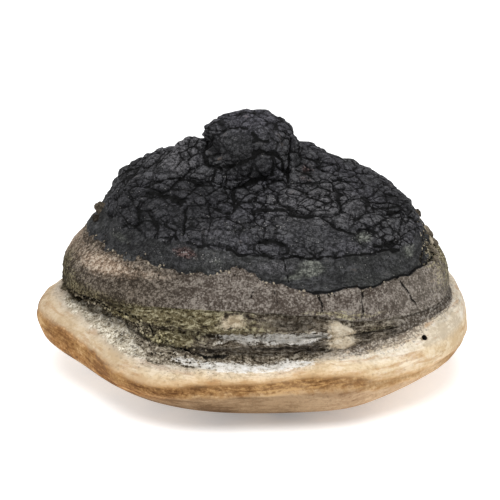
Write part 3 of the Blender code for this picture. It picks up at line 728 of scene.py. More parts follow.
def weathering_tree():
    """Moves each point along its normal by cracks, grit, streaks and crumbs of its own zone."""
    tree, given, result = new_geometry_tree("weathering", WEATHERING)
    place = add(tree, "GeometryNodeInputPosition").outputs[0]
    keep = add(
        tree,
        "GeometryNodeStoreNamedAttribute",
        {"Geometry": given["Geometry"], "Name": "ground", "Value": place},
        data_type="FLOAT_VECTOR",
    )
    growth = add(tree, "ShaderNodeSeparateXYZ", {0: named(tree, "growth", "FLOAT_VECTOR")}).outputs
    ring = growth["Y"]
    depth = add(tree, "ShaderNodeSeparateXYZ", {0: place}).outputs["Y"]
    off_cut = step(tree, depth, CUT_FACE_Y - 0.6 * MM, CUT_FACE_Y - 2.5 * MM)
    on_crust = step(tree, named(tree, "below_crust"), 0.3, -0.5)
    on_plates = step(tree, named(tree, "below_plates"), 1.2, -0.8, 0.25, 1.0)
    rough = calc(tree, "MULTIPLY_ADD", named(tree, "smooth"), -0.8, 1.0)
    on_plates = calc(tree, "MULTIPLY", on_plates, rough)
    off_margin = step(tree, ring, 19.4 * RING_SPACING, 18.6 * RING_SPACING)
    on_band = calc(tree, "MULTIPLY", calc(tree, "SUBTRACT", 1.0, on_crust), off_margin)

    line = crack_distance(tree, place, FINE_CELL, FINE_FLATTENING, FINE_WANDER_SIZE, FINE_WANDER)
    groove = step(tree, line, 0.0, given["Crack Half Width"], 1.0, 0.0)
    pillow = step(tree, line, 0.0, 2.0)
    cut = calc(tree, "MULTIPLY", groove, calc(tree, "MULTIPLY", given["Crack Depth"], -1.0))
    shaped = calc(tree, "MULTIPLY_ADD", pillow, given["Pillow"], cut)
    lumps = add(tree, "ShaderNodeTexNoise", {"Vector": place, "Scale": 1 / (5 * MM), "Detail": 2.0})
    lumpy = calc(tree, "MULTIPLY", calc(tree, "SUBTRACT", lumps.outputs[0], 0.5), given["Lumps"])
    lumpy = calc(tree, "MULTIPLY", lumpy, 2.0)
    crust = calc(tree, "MULTIPLY", calc(tree, "ADD", shaped, lumpy), on_crust)
    crust = calc(tree, "MULTIPLY", crust, on_plates)

    grit = add(tree, "ShaderNodeTexNoise", {"Vector": place, "Scale": 1 / (2.2 * MM), "Detail": 3.0})
    gritty = calc(tree, "MULTIPLY", calc(tree, "SUBTRACT", grit.outputs[0], 0.5), 2.0)
    gritty = calc(tree, "MULTIPLY", gritty, given["Grit"], on_band)
    bloom = calc(tree, "MULTIPLY", named(tree, "bloom"), calc(tree, "SUBTRACT", grit.outputs[0], 0.45))
    per_metre = calc(tree, "DIVIDE", 1 / MM, given["Pebble Size"])
    stones = add(tree, "ShaderNodeTexVoronoi", {"Vector": place, "Scale": per_metre}, feature="SMOOTH_F1")
    stony = calc(tree, "SUBTRACT", 0.45, stones.outputs["Distance"])
    stony = calc(tree, "MULTIPLY", stony, named(tree, "rubble"), given["Pebble Height"])
    stretch = {0: named(tree, "growth", "FLOAT_VECTOR"), 1: (0.13, 1.0, 0.13)}
    drawn_out = add(tree, "ShaderNodeVectorMath", stretch, operation="MULTIPLY").outputs[0]
    values = {"Vector": drawn_out, "Scale": 1 / (1.6 * MM), "Detail": 3.0}
    streak = add(tree, "ShaderNodeTexNoise", values)
    streaky = calc(tree, "SUBTRACT", streak.outputs[0], 0.5)
    in_ledges = step(tree, ring, 13.6 * RING_SPACING, 14.2 * RING_SPACING)
    streaky = calc(tree, "MULTIPLY", streaky, in_ledges, off_margin)
    streaky = calc(tree, "MULTIPLY", streaky, given["Streaks"], 2.0)
    turn = calc(tree, "DIVIDE", growth["X"], DEGREE_SPACING)
    streaky = calc(tree, "MULTIPLY", streaky, step(tree, turn, 56, 42, 0.25, 1.0))
    per_metre = calc(tree, "DIVIDE", 1 / MM, given["Crumble Size"])
    bits = add(tree, "ShaderNodeTexVoronoi", {"Vector": place, "Scale": per_metre}, feature="SMOOTH_F1")
    crumbly = calc(tree, "SUBTRACT", 0.4, bits.outputs["Distance"])
    crumbly = calc(tree, "MULTIPLY", crumbly, in_ledges, step(tree, turn, 46, 30))
    crumbly = calc(tree, "MULTIPLY", crumbly, step(tree, ring, 19.0 * RING_SPACING, 18.4 * RING_SPACING))
    streaky = calc(tree, "MULTIPLY_ADD", crumbly, given["Crumble"], streaky)
    out = calc(tree, "ADD", crust, gritty, calc(tree, "MULTIPLY", bloom, 1.2))
    out = calc(tree, "ADD", out, stony, streaky)
    out = calc(tree, "MULTIPLY", out, off_cut, MM)
    push = add(
        tree,
        "ShaderNodeVectorMath",
        {0: add(tree, "GeometryNodeInputNormal").outputs[0], "Scale": out},
        operation="SCALE",
    )
    moved = add(tree, "GeometryNodeSetPosition", {"Geometry": keep.outputs[0], "Offset": push.outputs[0]})
    real = add(tree, "GeometryNodeRealizeInstances", {0: moved.outputs[0]})
    values = {"Geometry": real.outputs[0], "Material": skin_material}
    dressed = add(tree, "GeometryNodeSetMaterial", values)
    tree.links.new(dressed.outputs[0], result.inputs[0])
    return tree


def baked(source, name):
    """A plain mesh object from what the source's modifiers make. The source is removed."""
    bpy.context.view_layer.update()
    graph = bpy.context.evaluated_depsgraph_get()
    mesh = bpy.data.meshes.new_from_object(source.evaluated_get(graph), depsgraph=graph)
    mesh.name = name
    bpy.data.objects.remove(source, do_unlink=True)
    made = bpy.data.objects.new(name, mesh)
    bpy.context.scene.collection.objects.link(made)
    return made


def with_tree(target, tree, values):
    """Puts a Geometry Nodes tree on an object and sets its named inputs by their identifiers."""
    modifier = target.modifiers.new(tree.name, "NODES")
    modifier.node_group = tree
    for item in tree.interface.items_tree:
        if item.item_type == "SOCKET" and item.in_out == "INPUT" and item.name in values:
            modifier[item.identifier] = values[item.name]
    return modifier


with_tree(rough_skin, weathering_tree(), WEATHERING)
skin = baked(rough_skin, "conk_skin")
print("weathered", len(skin.data.vertices), "points")

# %% [markdown]
# ## The cut
#
# The fungus was taken off its trunk, so its back is one flat cut. A plane slices the mesh, and the
# hole is closed with a sheet of small, even triangles. Those can take the shallow marks of the saw
# and the layers that a cut through a conk shows, which one large face couldn't.

# %% Slice and close the back
CAP_STEP = 2.4 * MM


def ordered_loop(edges):
    """The vertices of one closed loop of edges, in order."""
    following = {}
    for edge in edges:
        for vertex in edge.verts:
            following.setdefault(vertex, []).append(edge.other_vert(vertex))
    start = edges[0].verts[0]
    loop, before, here = [start], None, start
    while True:
        a, b = following[here]
        before, here = here, (b if a is before else a)
        if here is start:
            return loop
        loop.append(here)


def inside(outline, places):
    """Which places lie inside a closed outline, by counting crossings."""
    odd = np.zeros(len(places), bool)
    for (x0, y0), (x1, y1) in zip(outline, np.roll(outline, -1, axis=0)):
        crosses = (y0 > places[:, 1]) != (y1 > places[:, 1])
        rise = y1 - y0 if y1 != y0 else 1e-12
        odd ^= crosses & (places[:, 0] < (x1 - x0) * (places[:, 1] - y0) / rise + x0)
    return odd


def gaps(outline, places):
    """How far each place is from a closed outline."""
    nearest = np.full(len(places), np.inf)
    for start, end in zip(outline, np.roll(outline, -1, axis=0)):
        run = end - start
        along = np.clip((places - start) @ run / max(run @ run, 1e-12), 0, 1)
        away = np.linalg.norm(places - start - along[:, None] * run, axis=1)
        nearest = np.minimum(nearest, away)
    return nearest


def close_back(mesh):
    """Slices the mesh at the cut plane and closes it. The new faces get material 1."""
    work = bmesh.new()
    work.from_mesh(mesh)
    rim_depth = work.verts.layers.float.new("rim_depth")
    everything = work.verts[:] + work.edges[:] + work.faces[:]
    plane = {"plane_co": (0, CUT_FACE_Y, 0), "plane_no": (0, 1, 0), "clear_outer": True}
    bmesh.ops.bisect_plane(work, geom=everything, dist=1e-6, **plane)
    rim = ordered_loop([edge for edge in work.edges if edge.is_boundary])
    outline = np.array([(v.co.x, v.co.z) for v in rim])
    low, high = outline.min(axis=0), outline.max(axis=0)
    across = np.arange(low[0], high[0], CAP_STEP)
    up = np.arange(low[1], high[1], CAP_STEP * 0.87)
    grid = np.array([(x + CAP_STEP / 2 * (i % 2), z) for i, z in enumerate(up) for x in across])
    grid = grid[inside(outline, grid) & (gaps(outline, grid) > 1.2 * MM)]
    count = len(outline)
    sides = [(i, (i + 1) % count) for i in range(count)]
    flat = [Vector(place) for place in np.vstack([outline, grid]).tolist()]
    found = geometry.delaunay_2d_cdt(flat, sides, [], 1, 1e-9)
    corners = list(rim)
    for (x, z), gap in zip(grid, gaps(outline, grid)):
        corners.append(work.verts.new((x, CUT_FACE_Y, z)))
        corners[-1][rim_depth] = gap / MM
    source = [origin[0] for origin in found[3]]
    for face in found[2]:
        try:
            made = work.faces.new([corners[source[i]] for i in face])
        except ValueError:
            continue
        made.material_index = 1
    bmesh.ops.recalc_face_normals(work, faces=work.faces[:])
    for edge in work.edges:
        kinds = {face.material_index for face in edge.link_faces}
        edge.smooth = len(kinds) == 1
    for face in work.faces:
        face.smooth = True
    open_edges = sum(not edge.is_manifold for edge in work.edges)
    work.to_mesh(mesh)
    work.free()
    return count, len(grid), open_edges


rim_count, cap_count, open_edges = close_back(skin.data)
print("rim of", rim_count, "points,", cap_count, "inside it,", open_edges, "open edges left")


# %% Saw marks on the cut
def mark_cut(mesh):
    """Presses shallow saw marks into the cut, inside its rim."""
    owners = np.zeros(len(mesh.vertices), int)
    sides = np.zeros(len(mesh.vertices), int)
    for face in mesh.polygons:
        for vertex in face.vertices:
            if face.material_index == 1:
                owners[vertex] += 1
            else:
                sides[vertex] += 1
    for index in np.flatnonzero((owners > 0) & (sides == 0)):
        place = mesh.vertices[index].co
        tilt = place.z * 0.94 + place.x * 0.34
        saw = math.sin(tilt / (1.9 * MM)) * 0.5 + noise.noise(place / (9 * MM))
        place.y = CUT_FACE_Y - (0.16 + 0.11 * saw) * MM


mark_cut(skin.data)
print(len(skin.data.polygons), "faces on the skin")

# %% [markdown]
# ## The beetle's hole
#
# A beetle that grew up inside has left through the margin on the right: a clean round hole, a
# bit over two millimetres wide. It is a real hole here, drilled with a Boolean, because a dark
# dot would give itself away from the side.

# %% Drill the hole
HOLE_TURN, HOLE_RING, HOLE_RADIUS, HOLE_DEPTH = 54.8, 19.15, 1.2 * MM, 6 * MM
HOLE_SIDES = 28


def colour(code):
    """A hex colour as the linear values that nodes want."""
    parts = [int(code[i : i + 2], 16) / 255 for i in (1, 3, 5)]
    return (*[p / 12.92 if p <= 0.04045 else ((p + 0.055) / 1.055) ** 2.4 for p in parts], 1.0)


flesh_material, flesh_tree, flesh_shader = material_named("cut_flesh")
hole_material, hole_tree, hole_shader = material_named("beetle_hole")
# Painted shade: the hole's wall almost black
hole_shader.inputs["Base Color"].default_value = colour("#1c140d")
hole_shader.inputs["Roughness"].default_value = 0.95
skin.data.materials.append(flesh_material)


def drill_hole(body):
    """The body with the hole cut into it square to its surface, lined with the hole's material."""
    spot = (np.array([[HOLE_RING]]), np.array([[HOLE_TURN]]))
    centre = Vector(loft(*spot)[0, 0])
    beside = Vector(loft(spot[0], spot[1] + 1)[0, 0]) - centre
    under = Vector(loft(spot[0] + 0.2, spot[1])[0, 0]) - centre
    way = under.cross(beside).normalized()
    bpy.ops.mesh.primitive_cylinder_add(vertices=HOLE_SIDES, radius=HOLE_RADIUS, depth=2 * HOLE_DEPTH)
    drill = bpy.context.object
    drill.location = centre
    drill.rotation_euler = way.to_track_quat("Z", "Y").to_euler()
    drill.data.materials.append(hole_material)
    modifier = body.modifiers.new("hole", "BOOLEAN")
    modifier.operation = "DIFFERENCE"
    modifier.solver = "EXACT"
    modifier.material_mode = "TRANSFER"
    modifier.object = drill
    made = baked(body, "conk_skin")
    bpy.data.objects.remove(drill, do_unlink=True)
    return made


skin = drill_hole(skin)
print("hole drilled;", len(skin.data.polygons), "faces, materials", [m.name for m in skin.data.materials])

# %% [markdown]
# ## Shared colour tools
#
# Every zone of a fungus is a mix of a dark, a middle and a light tone, laid on by some grain, and no
# zone has a ruled edge. Specks of grit lie everywhere. These effects serve several materials, so
# each is a shader node group, made once and placed with other values wherever it is wanted.


# %% Helpers for colour
def new_group(name, given, made):
    """An empty shader node group with these inputs (kind and default) and outputs (kind)."""
    group = bpy.data.node_groups.new(name, "ShaderNodeTree")
    for label, (kind, value) in given.items():
        socket = group.interface.new_socket(label, in_out="INPUT", socket_type="NodeSocket" + kind)
        if value is not None:
            socket.default_value = value
    for label, kind in made.items():
        group.interface.new_socket(label, in_out="OUTPUT", socket_type="NodeSocket" + kind)
    return group, add(group, "NodeGroupInput").outputs, add(group, "NodeGroupOutput").inputs


def mix(tree, share, under, over, blend="MIX"):
    """One colour laid over another."""
    colours = {0: share, 6: under, 7: over}
    return add(tree, "ShaderNodeMix", colours, data_type="RGBA", blend_type=blend).outputs[2]


def noise_at(tree, place, size, detail=3.0, roughness=0.55):
    """Noise with lumps of about this size, from 0 to 1."""
    given = isinstance(size, bpy.types.NodeSocket)
    scale = calc(tree, "DIVIDE", 1.0, size) if given else 1 / size
    values = {"Vector": place, "Scale": scale, "Detail": detail, "Roughness": roughness}
    return add(tree, "ShaderNodeTexNoise", values).outputs[0]


def attribute(tree, name):
    """A mesh attribute as a colour, which also serves as a vector or, where it's grey, as a number."""
    read = add(tree, "ShaderNodeAttribute", attribute_name=name, attribute_type="GEOMETRY")
    return read.outputs["Color"]


# %% Three tones, torn edges, specks and growth lines
def three_tones_group():
    """Dark, middle or light, as the grain goes from 0 to 1."""
    grey = (0.2, 0.2, 0.2, 1.0)
    given = {"Grain": ("Float", 0.5), "Dark": ("Color", grey), "Middle": ("Color", grey)}
    given["Light"] = ("Color", grey)
    group, inputs, outputs = new_group("three_tones", given, {"Color": "Color"})
    lower = mix(group, step(group, inputs["Grain"], 0.22, 0.5), inputs["Dark"], inputs["Middle"])
    upper = mix(group, step(group, inputs["Grain"], 0.5, 0.78), lower, inputs["Light"])
    group.links.new(upper, outputs["Color"])
    return group


def torn_edge_group():
    """A soft mask made sharper, with its edge pushed about by noise."""
    given = {"Mask": ("Float", 0.0), "Place": ("Vector", None), "Size": ("Float", 0.002)}
    given.update({"Raggedness": ("Float", 0.6), "Softness": ("Float", 0.12)})
    group, inputs, outputs = new_group("torn_edge", given, {"Mask": "Float"})
    tear = calc(group, "SUBTRACT", noise_at(group, inputs["Place"], inputs["Size"], 4.0, 0.6), 0.5)
    value = calc(group, "MULTIPLY_ADD", tear, inputs["Raggedness"], inputs["Mask"])
    low = calc(group, "SUBTRACT", 0.5, inputs["Softness"])
    high = calc(group, "ADD", 0.5, inputs["Softness"])
    group.links.new(step(group, value, low, high), outputs["Mask"])
    return group


def specks_group():
    """Round dots in a share of the cells."""
    given = {"Place": ("Vector", None), "Size": ("Float", 0.001), "Share": ("Float", 0.1)}
    group, inputs, outputs = new_group("specks", given, {"Mask": "Float"})
    scale = calc(group, "DIVIDE", 1.0, inputs["Size"])
    cells = add(group, "ShaderNodeTexVoronoi", {"Vector": inputs["Place"], "Scale": scale})
    chance = add(group, "ShaderNodeSeparateColor", {0: cells.outputs["Color"]}).outputs[0]
    chosen = calc(group, "LESS_THAN", chance, inputs["Share"])
    round_dot = step(group, cells.outputs["Distance"], 0.42, 0.3)
    group.links.new(calc(group, "MULTIPLY", chosen, round_dot), outputs["Mask"])
    return group


def granules_group():
    """Packed grains, each with a tone of its own, and the gaps between them."""
    given = {"Place": ("Vector", None), "Size": ("Float", 0.001)}
    group, inputs, outputs = new_group("granules", given, {"Grain": "Float", "Gap": "Float"})
    scale = calc(group, "DIVIDE", 1.0, inputs["Size"])
    cells = add(group, "ShaderNodeTexVoronoi", {"Vector": inputs["Place"], "Scale": scale})
    chance = add(group, "ShaderNodeSeparateColor", {0: cells.outputs["Color"]}).outputs[0]
    inward = calc(group, "MULTIPLY_ADD", cells.outputs["Distance"], -0.75, 0.62)
    group.links.new(calc(group, "MULTIPLY_ADD", chance, 0.42, inward), outputs["Grain"])
    group.links.new(step(group, cells.outputs["Distance"], 0.4, 0.62), outputs["Gap"])
    return group


def growth_lines_group():
    """Noise drawn out along the rings of growth."""
    given = {"Growth": ("Vector", None), "Size": ("Float", 0.001)}
    group, inputs, outputs = new_group("growth_lines", given, {"Grain": "Float"})
    stretch = {0: inputs["Growth"], 1: (0.13, 1.0, 0.13)}
    drawn_out = add(group, "ShaderNodeVectorMath", stretch, operation="MULTIPLY")
    lines = noise_at(group, drawn_out.outputs[0], inputs["Size"], 4.0, 0.65)
    group.links.new(lines, outputs["Grain"])
    return group


THREE_TONES, TORN_EDGE = three_tones_group(), torn_edge_group()
SPECKS, GRANULES, GROWTH_LINES = specks_group(), granules_group(), growth_lines_group()
print("node groups:", [group.name for group in bpy.data.node_groups if group.type == "SHADER"])


# %% Placing the groups in a tree
def placed(tree, group, values):
    """The outputs of a node group placed in a tree."""
    return add(tree, "ShaderNodeGroup", values, node_tree=group).outputs


def tones(tree, grain, dark, middle, light):
    """Three hex colours laid on by a grain."""
    colours = {"Dark": colour(dark), "Middle": colour(middle), "Light": colour(light)}
    return placed(tree, THREE_TONES, {"Grain": grain, **colours})["Color"]


def torn(tree, mask, place, size=2 * MM, raggedness=0.6, softness=0.12):
    values = {"Mask": mask, "Place": place, "Size": size}
    return placed(tree, TORN_EDGE, {**values, "Raggedness": raggedness, "Softness": softness})["Mask"]


def specks(tree, place, size, share):
    return placed(tree, SPECKS, {"Place": place, "Size": size, "Share": share})["Mask"]


def granules(tree, place, size):
    return placed(tree, GRANULES, {"Place": place, "Size": size})


def growth_lines(tree, growth_at, size):
    return placed(tree, GROWTH_LINES, {"Growth": growth_at, "Size": size})["Grain"]


# %% [markdown]
# ## The skin
#
# One material covers the outside, because the zones run into each other. It works like a painter,
# from the top down: each zone's three tones go over the last, through a mask with a torn edge.
# The masks come from the ring number, from how far a point lies below the crust, and from the
# soft spots painted earlier. Bump adds what is finer than the mesh.

# %% Short names for the skin's tree
st = skin_tree
times, times_plus = partial(calc, st, "MULTIPLY"), partial(calc, st, "MULTIPLY_ADD")
plus, minus = partial(calc, st, "ADD"), partial(calc, st, "SUBTRACT")
larger, ramp, stored = partial(calc, st, "MAXIMUM"), partial(step, st), partial(attribute, st)
print("times, times_plus, plus, minus, larger, ramp and stored write into", skin_material.name)

# %% What the skin material reads
ground = stored("ground")
growth_at = stored("growth")
grown = add(st, "ShaderNodeSeparateXYZ", {0: growth_at}).outputs
ring_at = calc(st, "DIVIDE", grown["Y"], RING_SPACING)
turn_at = calc(st, "DIVIDE", grown["X"], DEGREE_SPACING)
broad = noise_at(st, ground, 24 * MM)
coarse = noise_at(st, ground, 6 * MM, 4.0, 0.6)
fine = noise_at(st, ground, 1.5 * MM, 4.0, 0.65)
grit = noise_at(st, ground, 0.6 * MM, 2.0, 0.6)
uneven, wavering = minus(coarse, 0.5), minus(fine, 0.5)
grains = granules(st, ground, 1.0 * MM)
lines = growth_lines(st, growth_at, 1.3 * MM)


def torn_here(mask, *size_and_tear):
    """The mask with its edge torn up by noise in the skin's own place."""
    return torn(st, mask, ground, *size_and_tear)


def over(mask, colour_under, *tone_names, grain):
    """Three tones laid over a colour through a mask."""
    return mix(st, mask, colour_under, tones(st, grain, *tone_names))


def blend_of(*parts):
    """A grain made of others, each with its share, spread out evenly about one half."""
    strength = 2.2 / math.sqrt(sum(share**2 for value, share in parts))
    total = 0.5 - 0.5 * strength * sum(share for value, share in parts)
    for value, share in parts:
        total = times_plus(value, share * strength, total)
    return total


def ring_band(low, high, soft=0.25, size=3 * MM, raggedness=0.5):
    """A torn mask of the rings between two numbers."""
    wandered = times_plus(uneven, raggedness, ring_at)
    up = ramp(wandered, low - soft, low + soft)
    down = ramp(wandered, high - soft, high + soft, 1.0, 0.0)
    return times(up, down)


sandy = blend_of((grains["Grain"], 0.45), (fine, 0.4), (coarse, 0.3))
streaky = blend_of((lines, 0.85), (grains["Grain"], 0.08), (fine, 0.25), (coarse, 0.2))
print("the skin reads", len(st.nodes), "nodes so far")

# %% [markdown]
# The crust is charcoal grey, and only its cracks, darkened with painted shade, are black. Painted
# shade sinks its tones in the hollows and beside a crack, and a little painted light lifts them in the
# middle of a plate. Over them go the places that the eye notices: bluish slate below the plates, a
# painted highlight on the top of the knob, painted shade under it and on the left, paler patches on
# the shoulders, a greenish haze and a few rusty spots. Each is one more coat through its own torn mask.

# %% Crust: plates, their cracks and the smoother slate band below them
cells = crack_distance(st, ground, FINE_CELL, FINE_FLATTENING, FINE_WANDER_SIZE, FINE_WANDER)
hair = crack_distance(st, ground, 2.1 * MM, 1.9, 3 * MM, 1.6 * MM)
below_crust = stored("below_crust")
below_plates = stored("below_plates")
plate_gap_at = stored("plate_gap")
crack_at = stored("crack_near")
on_plates = torn_here(ramp(below_plates, 1.5, -1.5), 2.5 * MM)
rough_here = times_plus(stored("smooth"), -0.9, 1.0)
cracking = times(on_plates, rough_here)

# Painted shade: darker in the hollows and beside a crack, with a little painted light in the middle of a
# plate
hollow = minus(stored("hollow"), 0.5)
painted_cavity_shade = times_plus(hollow, -0.4, ramp(cells, 0.0, 1.0, -0.1, 0.03))
crust_grain = blend_of((coarse, 0.3), (fine, 0.5), (grit, 0.5))
crust_grain = plus(crust_grain, painted_cavity_shade)
paint = tones(st, crust_grain, "#28282b", "#403f44", "#5f5e64")
slate_grain = blend_of((coarse, 0.4), (fine, 0.35), (lines, 0.4), (grit, 0.3))
off_plates = minus(1.0, on_plates)
paint = over(off_plates, paint, "#202021", "#333334", "#4c4c4f", grain=slate_grain)
greenish = torn_here(noise_at(st, ground, 30 * MM, 2.0), 4 * MM, 0.5, 0.3)
paint = over(times(greenish, 0.5), paint, "#272826", "#3d3e3b", "#5a5c57", grain=crust_grain)
# Painted highlight: the top of the knob is paler, as if lit from above
knob_top = times(ramp(ring_at, 2.4, 0.8), 0.6)
paint = over(knob_top, paint, "#323136", "#504f56", "#76747d", grain=crust_grain)
shade = times(torn_here(stored("shade"), 4 * MM, 0.6, 0.3), 0.75)
paint = over(shade, paint, "#18181a", "#272728", "#3c3c3e", grain=crust_grain)
haze = times(torn_here(stored("haze"), 2.5 * MM, 0.8, 0.2), 0.85)
paint = over(haze, paint, "#343532", "#5a5c56", "#8b8d84", grain=slate_grain)
# Paler patches on the shoulders and here and there lower down the crust
pale_patches = times(torn_here(stored("pale_patches"), 4 * MM, 0.7, 0.35), 0.7)
paint = over(pale_patches, paint, "#333334", "#525153", "#7a787b", grain=crust_grain)
rust = times(torn_here(stored("rust"), 2.0 * MM, 1.0, 0.3), 0.8)
paint = over(rust, paint, "#1a1211", "#3d2a27", "#7d6a66", grain=crust_grain)
print("crust painted")

# %% [markdown]
# A crack in old crust is thin and crisp, and painted shade makes it nearly black. The fine ones
# follow the same cells as in the weathering, wider here and fainter there, and hair cracks run
# between them in patches. They are painted, because a painted line stays sharp where the mesh is too
# coarse for it. The smooth places get slanting wrinkles instead, and pale flecks lie on them.

# %% The fine cracks and pale flecks of the crust
aslant = times_plus(grown["X"], 0.55, grown["Y"])
aslant_place = add(st, "ShaderNodeCombineXYZ", {0: times(grown["X"], 0.14), 1: aslant})
wrinkles = noise_at(st, aslant_place.outputs[0], 1.5 * MM, 3.0, 0.55)
patches = ramp(noise_at(st, ground, 16 * MM, 2.0), 0.38, 0.6)
crack_width = ramp(broad, 0.35, 0.65, 0.24, 0.5)
fine_crack = ramp(times_plus(wavering, 0.6, cells), 0.08, crack_width, 1.0, 0.0)
faded = ramp(noise_at(st, ground, 9 * MM, 2.0), 0.4, 0.56, 0.3, 1.0)
fine_crack = times(fine_crack, cracking, faded)
hair_crack = times(ramp(hair, 0.04, 0.18, 0.4, 0.0), times(cracking, patches))
# Painted shade: the fine and hair cracks drawn nearly black
paint = mix(st, larger(fine_crack, hair_crack), paint, colour("#0b0b0c"))
fleck_mask = torn_here(stored("flecks"), 3 * MM, 0.9, 0.2)
flecks = times(specks(st, ground, 0.8 * MM, 0.22), fleck_mask)
stray = times(specks(st, ground, 0.8 * MM, 0.02), 0.6)
paint = mix(st, times(larger(flecks, stray), 0.8), paint, colour("#a19f9c"))
print("cracks and flecks painted")

# %% [markdown]
# The band is the last growth that has weathered: grey-brown and leathery, in small grains of close
# tones, some darker and some paler, crossed by faint upright creases. Its left is browner in colour
# and darker with painted shade, and its far right is paler with painted light, so the turn mixes
# three sets of tones. Its mask follows the broken edge of the crust.

# %% The grey band, browner with painted shade on its left and painted light at its far right
on_band = torn_here(ramp(below_crust, -1.0, 1.0), 1.6 * MM, 0.7, 0.08)
band_grain = blend_of(
    (grains["Grain"], 0.25), (fine, 0.5), (coarse, 0.35), (grit, 0.4), (broad, 0.25)
)
band = tones(st, band_grain, "#4d443d", "#746b63", "#9c948b")
# The left: browner in colour, and darker with painted shade
left_brown_and_shade = times(ramp(turn_at, -12, -48), 0.95)
band = over(left_brown_and_shade, band, "#332c24", "#51483e", "#7a7064", grain=band_grain)
# Painted light: the far right of the band paler
far_right_light = times(ramp(turn_at, 42, 62), 0.8)
band = over(far_right_light, band, "#676057", "#887f75", "#a69e95", grain=band_grain)
dark_grains = specks(st, ground, 1.1 * MM, 0.16)
band = mix(st, times(dark_grains, 0.25), band, colour("#38312b"))
pale_grains = specks(st, ground, 0.6 * MM, 0.08)
band = mix(st, times(pale_grains, 0.3), band, colour("#c4bbae"))
upright_place = add(st, "ShaderNodeCombineXYZ", {0: grown["Y"], 1: grown["X"]}).outputs[0]
upright = growth_lines(st, upright_place, 1.4 * MM)
band = mix(st, ramp(upright, 0.44, 0.34, 0.0, 0.45), band, colour("#453d35"))
paint = mix(st, on_band, paint, band)
print("band painted")

# %% [markdown]
# Rain draws dirt along the ledges, so their grain is noise stretched along the growth: coarse above,
# and fine and layered just over the margin. Painted shade lays dark lines in the recesses between the
# ledges, but stays off the pale patches, and on the left it runs into one olive hollow, olive in its
# own colour and dark with painted shade. The right end is calm and looks more like the band.

# %% The ledges, streaked along their growth, with painted shade in the recesses between them
on_ledges = ring_band(13.8, 40, 0.2)
paint = over(on_ledges, paint, "#332b22", "#766f63", "#b5aea3", grain=streaky)
shorter = add(st, "ShaderNodeVectorMath", {0: growth_at, 1: (2.4, 1, 2.4)}, operation="MULTIPLY")
threads = growth_lines(st, shorter.outputs[0], 1.2 * MM)
long_threads = growth_lines(st, growth_at, 0.75 * MM)
below_margin = stored("below_margin")
ledge_rings = times(ring_band(13.9, 40, 0.2), ramp(below_margin, 1.5, 0.0))
thready = blend_of((threads, 0.35), (long_threads, 0.6), (fine, 0.35), (grit, 0.25), (coarse, 0.15))
paint = over(times(ledge_rings, 0.85), paint, "#33291d", "#74695a", "#c9bfae", grain=thready)
strata = times(ledge_rings, ramp(ring_at, 17.9, 18.4))
strata_grain = blend_of((threads, 0.3), (long_threads, 0.55), (fine, 0.5), (grit, 0.45))
paint = over(strata, paint, "#30281c", "#7d7261", "#d2c8b6", grain=strata_grain)
thread_gaps = times(ramp(thready, 0.3, 0.16), ledge_rings)
calm_right = times(on_ledges, ramp(turn_at, 44, 56, 0.0, 0.85))
paint = over(calm_right, paint, "#5a5349", "#7f776c", "#a39b8f", grain=band_grain)
# Masks for the painted shade in the recesses between the ledges
second_recess = times(ring_band(15.8, 16.15, 0.12), ramp(turn_at, 10, 2))
recess = larger(ring_band(13.75, 14.2, 0.12), second_recess)
third_recess = times(ring_band(17.6, 18.0, 0.2), ramp(turn_at, -22, -12, 0.15, 0.7))
recess = larger(recess, third_recess)
recess = times(recess, ramp(coarse, 0.25, 0.55, 0.35, 0.95))
deep_left = times(ledge_rings, ramp(turn_at, -40, -56))
# Dark olive coat on the left: olive in its own colour, dark with painted shade
paint = over(times(deep_left, 0.8), paint, "#241d10", "#544a31", "#92876a", grain=thready)
recess = larger(recess, times(deep_left, ramp(fine, 0.4, 0.6, 0.5, 0.1)))
recess = times(recess, ramp(turn_at, 50, 34, 0.05, 1.0))
recess = times(recess, ramp(stored("cream"), 0.2, 0.7, 1.0, 0.0))
# Painted shade: dark lines in the recesses, running into the hollow on the left
paint = mix(st, times(recess, ramp(fine, 0.42, 0.64, 1.0, 0.5)), paint, colour("#2a2217"))
print("ledges painted")

# %% [markdown]
# The margin is the growing edge and the cleanest part: chalky near its upper edge, cream in the
# middle, and warm and streaked like wood towards the lip. It meets the ledges in a narrow speckled
# seam, and in a broad one on the right. Each tone is a ramp of the distance from a line, which noise
# then breaks up.

# %% The margin, the pale new growth, with its white upper edge
below_lip = stored("below_lip")
warped_lip = times_plus(uneven, 3.0, below_lip)
on_margin = torn_here(ramp(below_margin, -1.2, 1.2), 1.6 * MM, 0.9, 0.12)
margin_grain = blend_of((broad, 0.5), (lines, 0.3), (fine, 0.3), (coarse, 0.3))
paint = over(on_margin, paint, "#d5bb95", "#e6d0ad", "#f2e1c6", grain=margin_grain)
chalky = times(on_margin, ramp(warped_lip, -3.6, -6.6))
paint = over(times(chalky, 0.75), paint, "#cbbfab", "#e2d8c6", "#f0e9dc", grain=margin_grain)
warm = times(ramp(warped_lip, -3.0, 0.2), ramp(turn_at, 46, 58, 0.75, 0.3))
paint = over(warm, paint, "#b78a59", "#cca574", "#e0c095", grain=margin_grain)
wood = ramp(blend_of((growth_lines(st, growth_at, 1.6 * MM), 0.8), (broad, 0.4)), 0.5, 0.8)
paint = mix(st, times(wood, on_margin, 0.5), paint, colour("#b3824f"))
dulled = times(on_margin, ramp(turn_at, -14, -44, 0.0, 0.38))
paint = mix(st, dulled, paint, colour("#a5917a"))
near_edge = times(on_margin, ramp(times_plus(wavering, 5.0, below_margin), 4.0, 0.4))
paint = over(times(near_edge, 0.5), paint, "#8f8478", "#c4b9ab", "#e9e0d2", grain=thready)
speckled = times(ramp(below_margin, 11.0, 0.0), ramp(turn_at, 22, 38))
